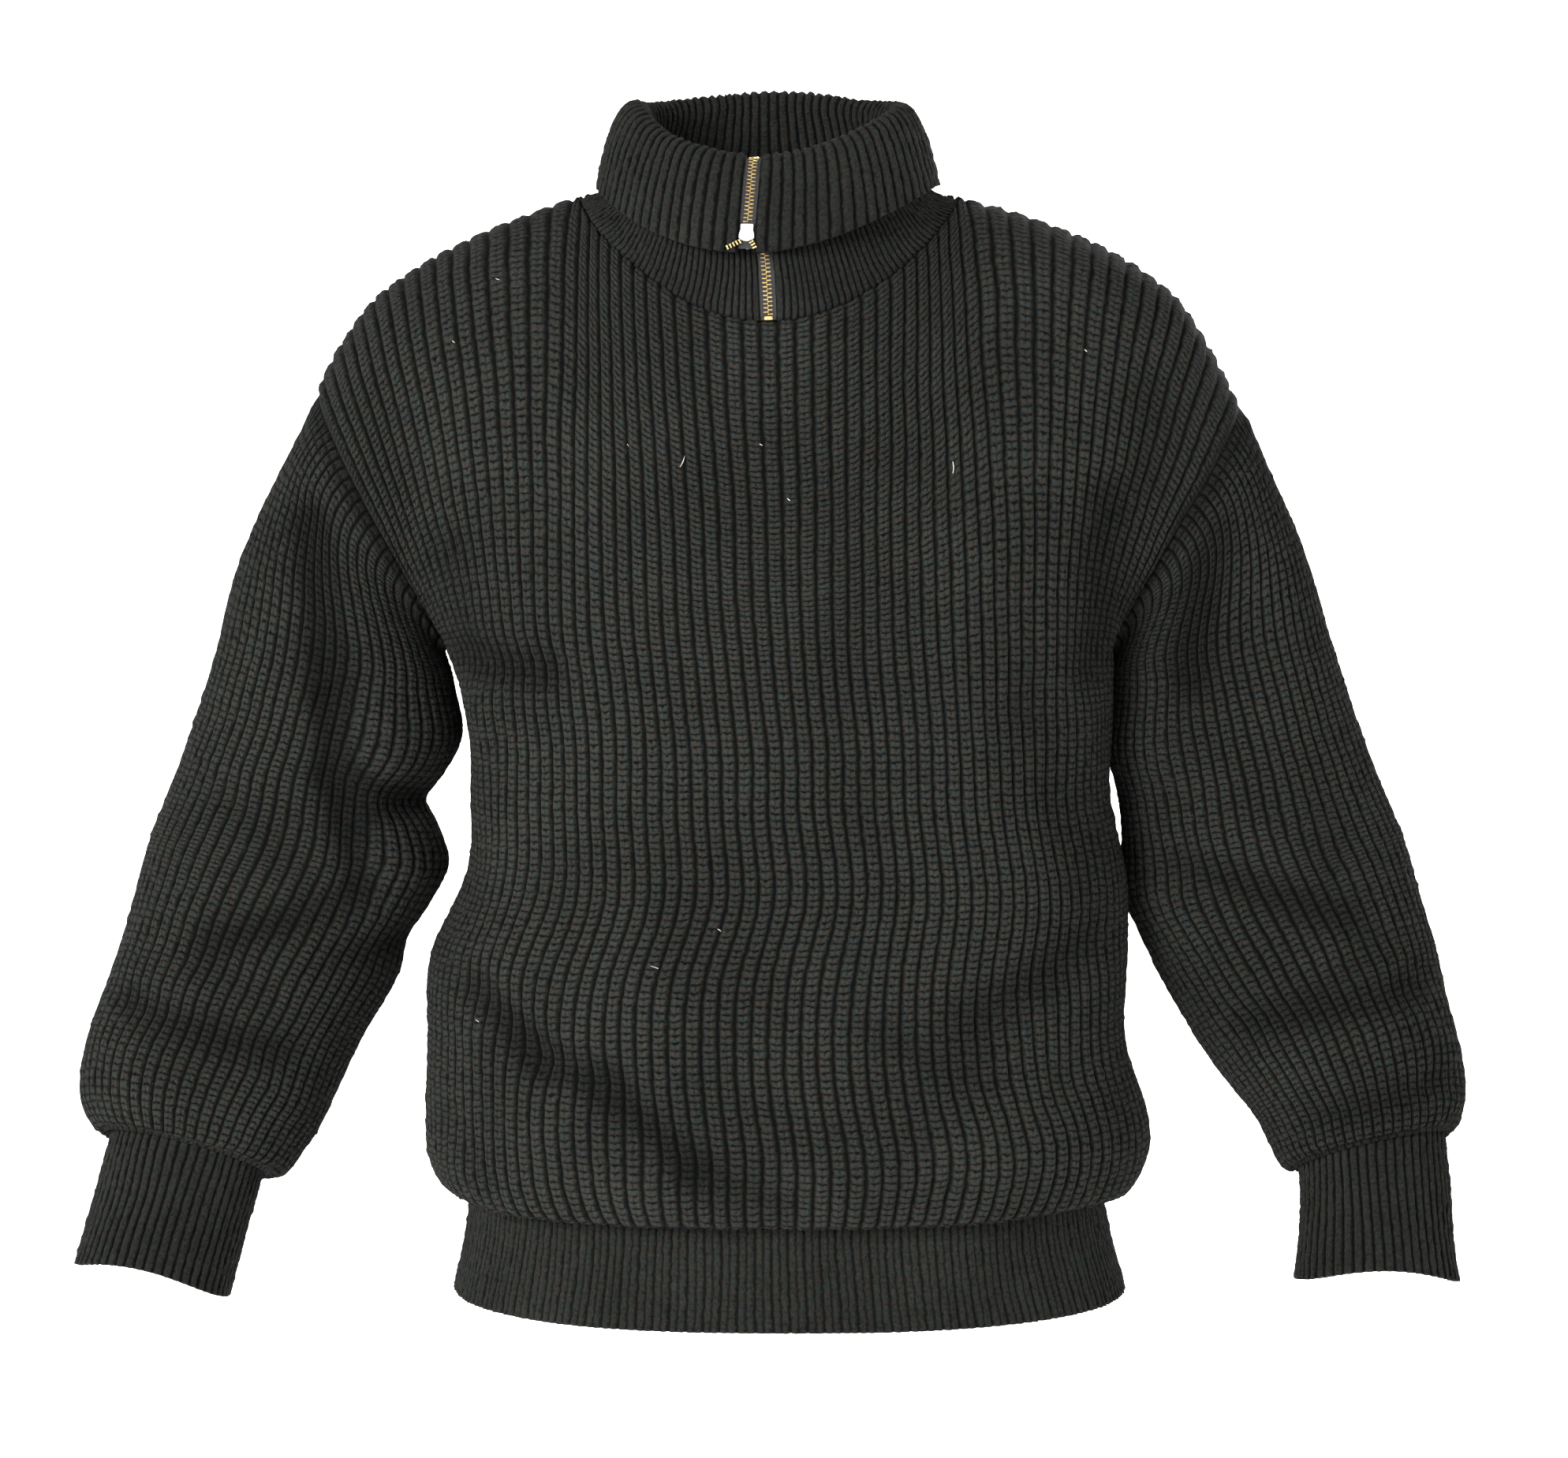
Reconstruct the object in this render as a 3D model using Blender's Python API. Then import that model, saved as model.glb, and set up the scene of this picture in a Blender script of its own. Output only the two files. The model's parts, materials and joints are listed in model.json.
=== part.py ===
"""Quarter-zip roll-neck sweater in a chunky rib knit, in its worn, hollow form.

Metres, +Z up, the front faces -Y. The origin is the point between the shoulders where the
wearer carries the garment. Right and left are the wearer's: the right sleeve is at -X.
"""
import math

import bmesh
import bpy
import numpy as np
from mathutils import Matrix, Vector

COLLECTION = "quarter_zip_sweater"
FRONT = -1
BACK = 1

# Cloth
WALL = 0.003
RIB_RISE = 0.0016
FINE_RIB_RISE = 0.0009
SEAM_GAP = 0.0004
CUFF_LAP = 0.004
BODY_RIBS = 54
SLEEVE_RIBS = 45
HEM_RIBS = 56
CUFF_RIBS = 50
COLLAR_RIBS = 84
RIBS_PER_INNER_STRIP = 3
SLEEVE_COLUMNS_PER_INNER_STRIP = 3
NECK_RIM_DROP = 0.0042
LEAVE_SMOOTHING = 24
NECK_SEAM_GAP = 0.0009
HEM_RIM_BACK = 0.0028
CUFF_RIM_BACK = 0.0008
CUFF_CLEARANCE_RIGHT = 0.0011
CUFF_CLEARANCE_LEFT = 0.0017

# Rows of faces up the front, the back, and in each half of an armhole
FRONT_LEVELS = (0, 1, 2, 3, 4, 5, 6, 7, 9)
BACK_LEVELS = (0, 1, 2, 3.5, 5, 6.5, 9)
YOKE_ROWS = 5
SLEEVE_STATIONS = (0, 0.3, 0.65, 1, 2, 3, 4, 5.3, 7, 8)
COLLAR_STATIONS = (0, 2.2, 4.6, 6, 7.2, 10)


def table(columns, *rows):
    """A short table with named columns, one row for each section or fold."""
    values = np.array(rows, float)
    return {name: values[:, place] for place, name in enumerate(columns.split())}


# Sections of the body from the hem seam up to the underarm
BODY = table(
    "height centre half_width front back",
    (-0.5870, 0.0105, 0.1940, 0.1345, 0.1285),
    (-0.5975, 0.0110, 0.2075, 0.1500, 0.1410),
    (-0.5810, 0.0110, 0.2175, 0.1590, 0.1490),
    (-0.5560, 0.0110, 0.2190, 0.1630, 0.1520),
    (-0.5080, 0.0050, 0.2115, 0.1590, 0.1480),
    (-0.4580, 0.0060, 0.2110, 0.1540, 0.1440),
    (-0.4070, 0.0160, 0.1990, 0.1490, 0.1410),
    (-0.3560, 0.0125, 0.1930, 0.1460, 0.1390),
    (-0.3060, 0.0120, 0.1945, 0.1440, 0.1380),
    (-0.2680, 0.0050, 0.2000, 0.1420, 0.1360),
)
UNDERARM = len(BODY["height"]) - 1
SQUARENESS = 2.35

# The ribbed hem band below the overhang of the body
HEM = table(
    "height centre half_width front back",
    (-0.5830, 0.0105, 0.1930, 0.1335, 0.1275),
    (-0.6200, 0.0110, 0.1955, 0.1370, 0.1320),
    (-0.6620, 0.0125, 0.2045, 0.1450, 0.1400),
)

# Neckline and shoulder seams
NECK_HALF_WIDTH = 0.115
NECK_FRONT = 0.105
NECK_BACK = 0.078
NECK_SIDE_HEIGHT = 0.001
NECK_FRONT_HEIGHT = -0.075
NECK_BACK_HEIGHT = 0.015
NECK_ROUND_FRONT = 1.15
NECK_ROUND_BACK = 1.25
NECK_DIP = 1.7
NECK_SHARE = 4 / 9
SHOULDER_RIGHT = table(
    "out height",
    (0.115, 0.001), (0.150, -0.011), (0.185, -0.025), (0.214, -0.041),
    (0.240, -0.061), (0.257, -0.086), (0.272, -0.115),
)
SHOULDER_LEFT = table(
    "out height",
    (0.115, 0.001), (0.150, -0.008), (0.187, -0.022), (0.218, -0.038),
    (0.245, -0.058), (0.265, -0.087), (0.284, -0.122),
)

# How each rib leaves the underarm section and meets the shoulder, in even steps from the
# middle of a panel to its side
YOKE = table(
    "out_start fore_start up_start back_end up_end",
    (0.000, 0.000, 0.190, 0.065, 0.165),
    (0.000, 0.005, 0.210, 0.090, 0.165),
    (0.000, 0.010, 0.275, 0.160, 0.135),
    (0.005, 0.015, 0.350, 0.220, 0.040),
    (0.020, 0.030, 0.350, 0.225, 0.010),
    (0.060, 0.070, 0.290, 0.235, 0.000),
    (0.120, 0.200, 0.210, 0.270, 0.000),
)

# Sleeve sections from below the armhole to the cuff seam, and the cuffs below them
SLEEVE_RIGHT = table(
    "out y height side depth",
    (0.2670, 0.010, -0.2770, 0.0690, 0.0740),
    (0.2820, 0.012, -0.3460, 0.0745, 0.0780),
    (0.2965, 0.008, -0.4110, 0.0855, 0.0810),
    (0.3230, -0.008, -0.4770, 0.0775, 0.0790),
    (0.3410, -0.024, -0.5280, 0.0745, 0.0740),
    (0.3500, -0.034, -0.5560, 0.0680, 0.0680),
    (0.3525, -0.040, -0.5715, 0.0585, 0.0590),
    (0.3530, -0.042, -0.5720, 0.0475, 0.0475),
)
SLEEVE_LEFT = table(
    "out y height side depth",
    (0.2760, 0.010, -0.2720, 0.0650, 0.0720),
    (0.2910, 0.012, -0.3420, 0.0740, 0.0770),
    (0.3075, 0.008, -0.4120, 0.0830, 0.0800),
    (0.3330, -0.008, -0.4760, 0.0765, 0.0780),
    (0.3545, -0.024, -0.5240, 0.0655, 0.0680),
    (0.3635, -0.034, -0.5540, 0.0590, 0.0600),
    (0.3650, -0.040, -0.5700, 0.0520, 0.0530),
    (0.3655, -0.042, -0.5705, 0.0450, 0.0450),
)
CUFF_RIGHT = table(
    "out y height side depth",
    (0.3530, -0.0420, -0.5720, 0.0475, 0.0475),
    (0.3600, -0.0560, -0.6050, 0.0450, 0.0450),
    (0.3690, -0.0730, -0.6420, 0.0465, 0.0465),
)
CUFF_LEFT = table(
    "out y height side depth",
    (0.3655, -0.0420, -0.5705, 0.0450, 0.0450),
    (0.3655, -0.0560, -0.6050, 0.0435, 0.0435),
    (0.3650, -0.0720, -0.6420, 0.0480, 0.0470),
)

# Largest folds, as soft lines seen from the front (-1) or the back (1): a trough has a depth
# below zero and a ridge one above zero
FOLDS = table(
    "face x_start z_start x_end z_end width rise",
    (-1, -0.172, -0.466, -0.133, -0.503, 0.013, -0.0060),
    (-1, -0.133, -0.503, -0.094, -0.516, 0.013, -0.0050),
    (-1, -0.094, -0.516, -0.045, -0.562, 0.014, -0.0050),
    (-1, -0.045, -0.562, 0.008, -0.582, 0.014, -0.0035),
    (-1, -0.120, -0.545, -0.075, -0.575, 0.020, 0.0040),
    (-1, -0.188, -0.276, -0.130, -0.276, 0.014, -0.0050),
    (-1, -0.165, -0.315, -0.150, -0.400, 0.024, 0.0030),
    (-1, -0.190, -0.210, -0.184, -0.262, 0.018, -0.0040),
    (-1, 0.204, -0.180, 0.197, -0.275, 0.018, -0.0050),
    (-1, 0.226, -0.115, 0.226, -0.165, 0.015, -0.0030),
    (-1, 0.150, -0.300, 0.185, -0.400, 0.020, -0.0030),
    (-1, 0.120, -0.480, 0.190, -0.440, 0.018, -0.0040),
    (-1, 0.060, -0.560, 0.150, -0.545, 0.022, 0.0040),
    (1, -0.188, -0.210, -0.180, -0.275, 0.018, -0.0040),
    (1, 0.206, -0.175, 0.190, -0.280, 0.018, -0.0050),
    (1, -0.120, -0.420, 0.020, -0.455, 0.018, -0.0050),
    (1, -0.030, -0.500, 0.150, -0.470, 0.020, -0.0050),
    (1, -0.150, -0.540, -0.020, -0.560, 0.018, -0.0045),
    (-1, -0.269, -0.185, -0.261, -0.290, 0.015, -0.0060),
    (-1, -0.262, -0.300, -0.240, -0.405, 0.014, -0.0060),
    (-1, -0.208, -0.362, -0.262, -0.342, 0.011, -0.0070),
    (-1, -0.240, -0.415, -0.330, -0.440, 0.014, -0.0050),
    (-1, -0.290, -0.505, -0.380, -0.480, 0.014, -0.0050),
    (-1, 0.262, -0.195, 0.250, -0.285, 0.015, -0.0055),
    (-1, 0.250, -0.400, 0.345, -0.425, 0.015, -0.0050),
    (-1, 0.290, -0.490, 0.385, -0.470, 0.014, -0.0050),
    (-1, 0.330, -0.545, 0.400, -0.525, 0.012, -0.0040),
    (1, -0.240, -0.350, -0.330, -0.375, 0.014, -0.0060),
    (1, -0.265, -0.430, -0.360, -0.445, 0.014, -0.0050),
    (1, 0.250, -0.350, 0.340, -0.375, 0.014, -0.0060),
    (1, 0.270, -0.440, 0.375, -0.455, 0.014, -0.0050),
)

# The folded collar, middle of its wall: up the stand, over the fold and down the flap.
# Turn is how far the front opening has wandered round the neck, in degrees, and round is
# 1 for an oval seen from above and more where front and back are narrower.
COLLAR = table(
    "half_width front back front_height side_height back_height turn round",
    (0.1150, 0.1040, 0.0770, -0.0740, 0.0010, 0.0155, 0.0, 1.40),
    (0.1050, 0.1015, 0.0745, -0.0610, 0.0020, 0.0200, -0.3, 1.25),
    (0.0945, 0.0980, 0.0715, -0.0420, 0.0070, 0.0280, -1.0, 1.10),
    (0.0845, 0.0900, 0.0680, -0.0200, 0.0190, 0.0420, -2.5, 1.00),
    (0.0785, 0.0830, 0.0660, -0.0010, 0.0340, 0.0560, -4.0, 0.95),
    (0.0755, 0.0785, 0.0655, 0.0130, 0.0490, 0.0640, -5.0, 0.95),
    (0.0790, 0.0810, 0.0705, 0.0205, 0.0575, 0.0690, -5.8, 0.95),
    (0.0860, 0.0890, 0.0770, 0.0165, 0.0535, 0.0650, -6.0, 0.95),
    (0.0925, 0.0985, 0.0830, 0.0000, 0.0400, 0.0530, -6.2, 0.95),
    (0.0970, 0.1060, 0.0880, -0.0170, 0.0240, 0.0400, -6.5, 0.95),
    (0.1005, 0.1105, 0.0915, -0.0345, 0.0095, 0.0290, -6.8, 0.95),
)
COLLAR_WALL = 0.0034
COLLAR_STRIPS = 42
OPENING_HALF = 0.0056

# Zip
CHAIN_HALF_WIDTH = 0.0028
CHAIN_HALF_THICKNESS = 0.0012
TAPE_INNER_EDGE = 0.0031
TAPE_OUTER_EDGE = 0.0048
TAPE_HALF_THICKNESS = 0.0006
CHAIN_START = 0.25
CHAIN_END = 8.95
CHAIN_STEPS = 12
SLIDER_STATION = 9.35
SLIDER_LENGTH = 0.0104
SLIDER_TOP_WIDTH = 0.0076
SLIDER_WIDTH = 0.0092
SLIDER_THICKNESS = 0.0044
BRIDGE_WIDTH = 0.0016
BRIDGE_HALF_LENGTH = 0.0019
BRIDGE_HALF_HOLE = 0.0011
PIVOT_HEIGHT = 0.0012
BRIDGE_HOLE_TOP = 0.00195
BRIDGE_TOP = 0.00255
PULL_THICKNESS = 0.0009
PULL_HALF_WIDTH = 0.0021
PULL_EYE_HALF_WIDTH = 0.0012
PULL_BAR = 0.00045
PULL_EYE_END = 0.0026
PULL_LENGTH = 0.0083
OPEN_TEETH_HALF_WIDTH = 0.0013
OPEN_TEETH_OUT = 0.0036

# Colours
CHARCOAL = (0.030, 0.031, 0.029)
BRASS = (0.55, 0.42, 0.22)
NICKEL = (0.80, 0.79, 0.75)
TAPE_BLACK = (0.018, 0.018, 0.020)


def read_row(rows, place):
    """One row of a table at a whole or broken place, on a smooth curve through the rows."""
    last = len(next(iter(rows.values()))) - 1
    start = int(min(max(math.floor(place), 0), last - 1))
    part = place - start
    found = {}
    for name, values in rows.items():
        before = values[max(start - 1, 0)]
        here, after = values[start], values[start + 1]
        beyond = values[min(start + 2, last)]
        slope_here = 0.5 * (after - before)
        slope_after = 0.5 * (beyond - here)
        found[name] = hermite(here, slope_here, after, slope_after, part)
    return found


def hermite(start, slope_start, end, slope_end, part):
    """A smooth curve from start to end with the given slopes."""
    square, cube = part * part, part * part * part
    return ((2 * cube - 3 * square + 1) * start + (cube - 2 * square + part) * slope_start
            + (3 * square - 2 * cube) * end + (cube - square) * slope_end)


def smooth_step(value, low, high):
    part = np.clip((value - low) / (high - low), 0.0, 1.0)
    return part * part * (3.0 - 2.0 * part)


def unit(vectors):
    length = np.linalg.norm(vectors, axis=-1, keepdims=True)
    return vectors / np.maximum(length, 1e-9)


def section(rows, place, share, face):
    """Points along the front or back half of a body section, at even steps of cloth."""
    row = read_row(rows, place)
    depth = row["front"] if face == FRONT else row["back"]
    angle = np.linspace(-math.pi / 2, math.pi / 2, 361)
    across = np.sign(np.sin(angle)) * np.abs(np.sin(angle)) ** (2 / SQUARENESS) * row["half_width"]
    deep = np.abs(np.cos(angle)) ** (2 / SQUARENESS) * depth
    length = np.concatenate([[0.0], np.cumsum(np.hypot(np.diff(across), np.diff(deep)))])
    even = 2.0 * length / length[-1] - 1.0
    x = row["centre"] + np.interp(share, even, across)
    y = face * (np.interp(share, even, deep) + SEAM_GAP / 2)
    return np.stack([x, y, np.full_like(x, row["height"])], axis=-1)


def neckline(angle, face):
    """The neck seam; angle runs from -90 degrees at the right side to 90 at the left."""
    cosine = np.abs(np.cos(angle))
    depth = NECK_FRONT if face == FRONT else NECK_BACK
    height = NECK_FRONT_HEIGHT if face == FRONT else NECK_BACK_HEIGHT
    roundness = NECK_ROUND_FRONT if face == FRONT else NECK_ROUND_BACK
    x = NECK_HALF_WIDTH * np.sin(angle)
    y = face * (depth * cosine ** roundness + SEAM_GAP / 2)
    z = NECK_SIDE_HEIGHT + (height - NECK_SIDE_HEIGHT) * cosine ** NECK_DIP
    return np.stack([x, y, z], axis=-1)


def neck_angle(part, face):
    """Angle on the neck seam at an even part of its length, from -1 at the right to 1."""
    angle = np.linspace(-math.pi / 2, math.pi / 2, 181)
    steps = np.linalg.norm(np.diff(neckline(angle, face), axis=0), axis=1)
    length = np.concatenate([[0.0], np.cumsum(steps)])
    return np.interp(part, 2.0 * length / length[-1] - 1.0, angle)


def shoulder(side, part):
    """Point of the shoulder seam, from the neck (0) to the armhole (1)."""
    rows = SHOULDER_LEFT if side > 0 else SHOULDER_RIGHT
    row = read_row(rows, part * (len(rows["out"]) - 1))
    return np.array([side * row["out"], 0.0, row["height"]])


def top_edge(share, face):
    """Where each rib of a panel ends: at the neckline, or at the shoulder seam."""
    inside = np.clip(share / NECK_SHARE, -1.0, 1.0)
    points = neckline(neck_angle(inside, face), face)
    for place, value in enumerate(share):
        if abs(value) > NECK_SHARE:
            part = (abs(value) - NECK_SHARE) / (1.0 - NECK_SHARE)
            points[place] = shoulder(np.sign(value), part)
            points[place, 1] = face * SEAM_GAP / 2
    return points


def panel_line(face, share, level):
    """A line across a panel: level 0 is the hem seam, UNDERARM the underarm, one more the top."""
    share = np.clip(share, -1.0, 1.0)
    if level <= UNDERARM:
        return section(BODY, max(level, 0.0), share, face)
    part = min(level - UNDERARM, 1.0)
    side = np.sign(share)
    size = np.abs(share)
    last = len(YOKE["up_start"]) - 1
    slopes = [read_row(YOKE, value * last) for value in size]
    slope = {name: np.array([row[name] for row in slopes]) for name in YOKE}
    leave = np.stack([side * slope["out_start"], face * slope["fore_start"], slope["up_start"]], -1)
    meet = np.stack([0.0 * side, -face * slope["back_end"], slope["up_end"]], -1)
    start = section(BODY, UNDERARM, share, face)
    return hermite(start, leave, top_edge(share, face), meet, part)


def shoulder_normal(side, part):
    """Outward direction on the shoulder seam, with no lean to front or back."""
    step = 0.02
    along = shoulder(side, min(part + step, 1.0)) - shoulder(side, max(part - step, 0.0))
    return unit(np.array([-side * along[2] * side, 0.0, abs(along[0])])) * np.array([side, 1, 1])


def armhole_frame(side):
    """Middle of an armhole, its outward axis, and its lowest and highest points."""
    low = panel_line(FRONT, np.array([side * 1.0]), UNDERARM)[0]
    high = shoulder(side, 1.0)
    low[1] = 0.0
    axis = unit(np.cross(high - low, [0.0, -side, 0.0]))
    return (low + high) / 2, axis, low, high


def armhole_normal(side, points):
    """Outward direction of the wall where a panel and a sleeve meet."""
    middle, axis, low, high = armhole_frame(side)
    radial = points - middle
    radial = unit(radial - (radial @ axis)[..., None] * axis)
    cosine = radial @ unit(low - middle)
    lean = 0.35 + 0.25 * cosine + 0.75 * cosine ** 2
    return unit(radial + lean[..., None] * axis)


def fold_rise(points, normals):
    """How far the largest folds lift or sink the cloth at each point."""
    rise = np.zeros(points.shape[:-1])
    flat = points[..., [0, 2]]
    for place in range(len(FOLDS["face"])):
        start = np.array([FOLDS["x_start"][place], FOLDS["z_start"][place]])
        end = np.array([FOLDS["x_end"][place], FOLDS["z_end"][place]])
        along = end - start
        part = np.clip(((flat - start) @ along) / (along @ along), 0.0, 1.0)
        distance = np.linalg.norm(flat - start - part[..., None] * along, axis=-1)
        facing = smooth_step(normals[..., 1] * FOLDS["face"][place], 0.05, 0.55)
        rise += FOLDS["rise"][place] * facing * np.exp(-(distance / FOLDS["width"][place]) ** 2)
    return rise


def panel_surface(face, share, levels):
    """Base points and outward directions of a panel, row by row."""
    step = 0.004
    points, normals = [], []
    for level in levels:
        base = panel_line(face, share, level)
        across = panel_line(face, share + step, level) - panel_line(face, share - step, level)
        up = panel_line(face, share, level + step) - panel_line(face, share, level - step)
        normal = unit(np.cross(across, up)) * -face
        edge = smooth_step(np.abs(share), 0.86, 1.0)[:, None]
        side = np.sign(share)[:, None]
        if level < UNDERARM:
            seam = np.concatenate([side, np.zeros_like(side), np.zeros_like(side)], axis=-1)
            seam = unit(seam + normal * [0, 0, 1])
            seam[:, 1] = 0.0
        else:
            seam = np.where(side > 0, armhole_normal(1, base), armhole_normal(-1, base))
        if level >= UNDERARM + 1:
            normal = top_normals(share, face)
        if level <= 0:
            normal = seam = np.tile([0.0, 0.0, -1.0], (len(share), 1))
        normals.append(unit(normal * (1 - edge) + seam * edge))
        points.append(base)
    points, normals = np.array(points), np.array(normals)
    fade = np.array([smooth_step(level, 0.0, 1.5) for level in levels])[:, None]
    return points, normals, fold_rise(points, normals) * fade


def top_normals(share, face):
    """Outward directions along the neckline and the shoulder seams."""
    found = []
    for value in share:
        side = 1.0 if value >= 0 else -1.0
        if abs(value) < NECK_SHARE:
            angle = abs(neck_angle(value / NECK_SHARE, face))
            found.append(neck_normal(angle / (math.pi / 2), side, face))
        else:
            found.append(shoulder_normal(side, (abs(value) - NECK_SHARE) / (1.0 - NECK_SHARE)))
    return np.array(found)


def neck_normal(part, side, face):
    """Outward direction on the neck seam, from its middle (0) to the shoulder (1)."""
    lean = unit(np.array([0.0, face * 0.93, 0.37]))
    toward_side = math.sin(part * math.pi / 2) ** 2
    return unit(lean * (1 - toward_side) + shoulder_normal(side, 0.0) * toward_side)


def loop_edge(side, strips_per_row):
    """The armhole as cut: wall points of both panels, from the underarm over the top and back."""
    share = np.array([side * 1.0])
    front, front_out, front_rise = panel_surface(FRONT, share, yoke_levels(YOKE_ROWS))
    back, back_out, back_rise = panel_surface(BACK, share, yoke_levels(YOKE_ROWS))
    front = front + front_rise[..., None] * front_out
    back = back + back_rise[..., None] * back_out
    points = np.concatenate([front[:, 0], back[::-1, 0]])
    normals = np.concatenate([front_out[:, 0], back_out[::-1, 0]])
    top = len(front) - 1
    points = np.concatenate([points[:top], [(points[top] + points[top + 1]) / 2], points[top + 2:-1]])
    normals = np.concatenate([normals[:top], [normals[top]], normals[top + 2:-1]])
    points[0, 1] = 0.0
    count = len(points)
    place = np.arange(count * strips_per_row) / strips_per_row
    low = np.floor(place).astype(int)
    part = (place - low)[:, None]
    following = (low + 1) % count
    mixed_points = points[low] * (1 - part) + points[following] * part
    mixed_normals = normals[low] * (1 - part) + normals[following] * part
    return mixed_points, mixed_normals


def yoke_levels(rows):
    return [UNDERARM + row / rows for row in range(rows + 1)]


def ring(rows, place, turn, side):
    """An oval section across a sleeve or cuff; turn 0 faces the body and 0.25 the front."""
    row = read_row(rows, place)
    step = 0.05
    last = len(rows["out"]) - 1
    ahead = read_row(rows, min(place + step, last))
    behind = read_row(rows, max(place - step, 0))
    if place > last - 1.5 and last > 3:
        ahead, behind = read_row(rows, last - 1), read_row(rows, last - 3)
    down = unit(centre_of(ahead, side) - centre_of(behind, side))
    inward = np.array([-side, 0.0, 0.0])
    inward = unit(inward - (inward @ down) * down)
    fore = np.cross(down, inward) * side
    fore = fore if fore[1] < 0 else -fore
    angle = np.asarray(turn) * 2 * math.pi
    reach = (np.cos(angle)[:, None] * inward * row["side"]
             + np.sin(angle)[:, None] * fore * row["depth"])
    return centre_of(row, side) + reach, unit(reach), down


def centre_of(row, side):
    return np.array([side * row["out"], row["y"], row["height"]])


def sleeve_line(side, rows, loop, turn, station):
    """A line round a sleeve: station 0 is the armhole, 1 the first section."""
    if station >= 1:
        return ring(rows, station - 1, turn, side)[0]
    points, directions = loop
    end, _, down = ring(rows, 0, turn, side)
    chord = np.linalg.norm(end - points, axis=-1, keepdims=True)
    return hermite(points, directions * chord, end, down * chord, station)


def sleeve_surface(side, rows, strips_per_row, stations):
    """Base points and outward directions of a sleeve, ring by ring."""
    edge, edge_normals = loop_edge(side, strips_per_row)
    count = len(edge)
    turn = np.arange(count) / count
    tangent = unit(np.roll(edge, -1, axis=0) - np.roll(edge, 1, axis=0))
    away = unit(np.cross(tangent, edge_normals))
    middle, axis, low, _ = armhole_frame(side)
    away *= np.sign(np.median(away @ axis))
    first = edge + away * SEAM_GAP
    under = (0.5 + 0.5 * np.cos(turn * 2 * math.pi))[:, None] ** 1.5
    leave = unit(away * (1 - under) + np.array([side * 0.80, 0.0, -0.60]) * under)
    for _ in range(LEAVE_SMOOTHING):
        leave = unit(np.roll(leave, 1, axis=0) + 2 * leave + np.roll(leave, -1, axis=0))
    loop = (first, leave)
    points, normals = [], []
    step = 0.02
    last = len(rows["out"])
    for station in stations:
        base = sleeve_line(side, rows, loop, turn, station)
        if station == 0:
            normal = edge_normals
        elif station >= last:
            normal = np.tile(ring(rows, station - 1, turn, side)[2], (count, 1))
        else:
            above = sleeve_line(side, rows, loop, turn, max(station - step, 0.0))
            below = sleeve_line(side, rows, loop, turn, station + step)
            around = np.roll(base, -1, axis=0) - np.roll(base, 1, axis=0)
            normal = unit(np.cross(around, below - above))
            outward = base - base.mean(axis=0)
            normal *= np.sign(np.median(np.sum(normal * outward, axis=-1)))
        points.append(base)
        normals.append(normal)
    points, normals = np.array(points), np.array(normals)
    fade = np.array([smooth_step(station, 0.4, 1.4) * smooth_step(last - station, 0.0, 1.2)
                     for station in stations])[:, None]
    return points, normals, fold_rise(points, normals) * fade


def ribbed(points, normals, rib_rise, folds=0.0):
    """Lift every second column, so that the cloth stands in ribs."""
    lift = np.zeros(points.shape[:2]) + folds
    lift[:, 1::2] += rib_rise
    return points + lift[..., None] * normals


def plain_inside(points, normals, folds, strip, closed):
    """The inner side of a wall, in wider strips, which passes under every trough beside it."""
    deepest = folds.copy()
    for shift in range(1, strip + 1):
        for sign in (-1, 1):
            moved = np.roll(folds, sign * shift, axis=1)
            if not closed:
                moved[:, :shift] = folds[:, :shift]
                moved[:, -shift:] = folds[:, -shift:]
            deepest = np.minimum(deepest, moved)
    lift = np.minimum(deepest, 0.0) - WALL
    return (points + lift[..., None] * normals)[:, ::strip]


def wall_mesh(name, outer, inner, closed):
    """A closed wall between a finely ribbed grid and a coarser plain one."""
    rows, wide, narrow = outer.shape[0], outer.shape[1], inner.shape[1]
    strips = narrow if closed else narrow - 1
    per_strip = (wide if closed else wide - 1) // strips
    mesh = bmesh.new()
    out = [[mesh.verts.new(point) for point in line] for line in outer]
    into = [[mesh.verts.new(point) for point in line] for line in inner]
    for row in range(rows - 1):
        for column in range(wide if closed else wide - 1):
            after = (column + 1) % wide
            mesh.faces.new((out[row][column], out[row][after],
                            out[row + 1][after], out[row + 1][column]))
        for column in range(strips):
            after = (column + 1) % narrow
            corners = (into[row][after], into[row][column],
                       into[row + 1][column], into[row + 1][after])
            above = out[row][column * per_strip], out[row + 1][(column + 1) * per_strip % wide]
            split_inward(mesh, corners, above)
        if not closed:
            for column, far in ((0, 0), (wide - 1, narrow - 1)):
                mesh.faces.new((out[row][column], out[row + 1][column],
                                into[row + 1][far], into[row][far]))
    for row in (0, rows - 1):
        for column in range(strips):
            near, far = into[row][column], into[row][(column + 1) % narrow]
            for place in range(per_strip):
                first = out[row][(column * per_strip + place) % wide]
                second = out[row][(column * per_strip + place + 1) % wide]
                mesh.faces.new((first, second, near if place < per_strip / 2 else far))
                if place + 1 == math.ceil(per_strip / 2):
                    mesh.faces.new((near, second, far))
    bmesh.ops.recalc_face_normals(mesh, faces=mesh.faces)
    return finish_mesh(name, mesh)


def split_inward(mesh, corners, above):
    """Two triangles over four inner points, split so that they keep clear of the outer side."""
    a, b, c, d = corners
    outward = above[0].co + above[1].co - b.co - d.co
    if (a.co + c.co - b.co - d.co).dot(outward) > 0:
        mesh.faces.new((a, b, d))
        mesh.faces.new((b, c, d))
    else:
        mesh.faces.new((a, b, c))
        mesh.faces.new((a, c, d))


def finish_mesh(name, mesh):
    data = bpy.data.meshes.new(name)
    mesh.to_mesh(data)
    mesh.free()
    return data


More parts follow.
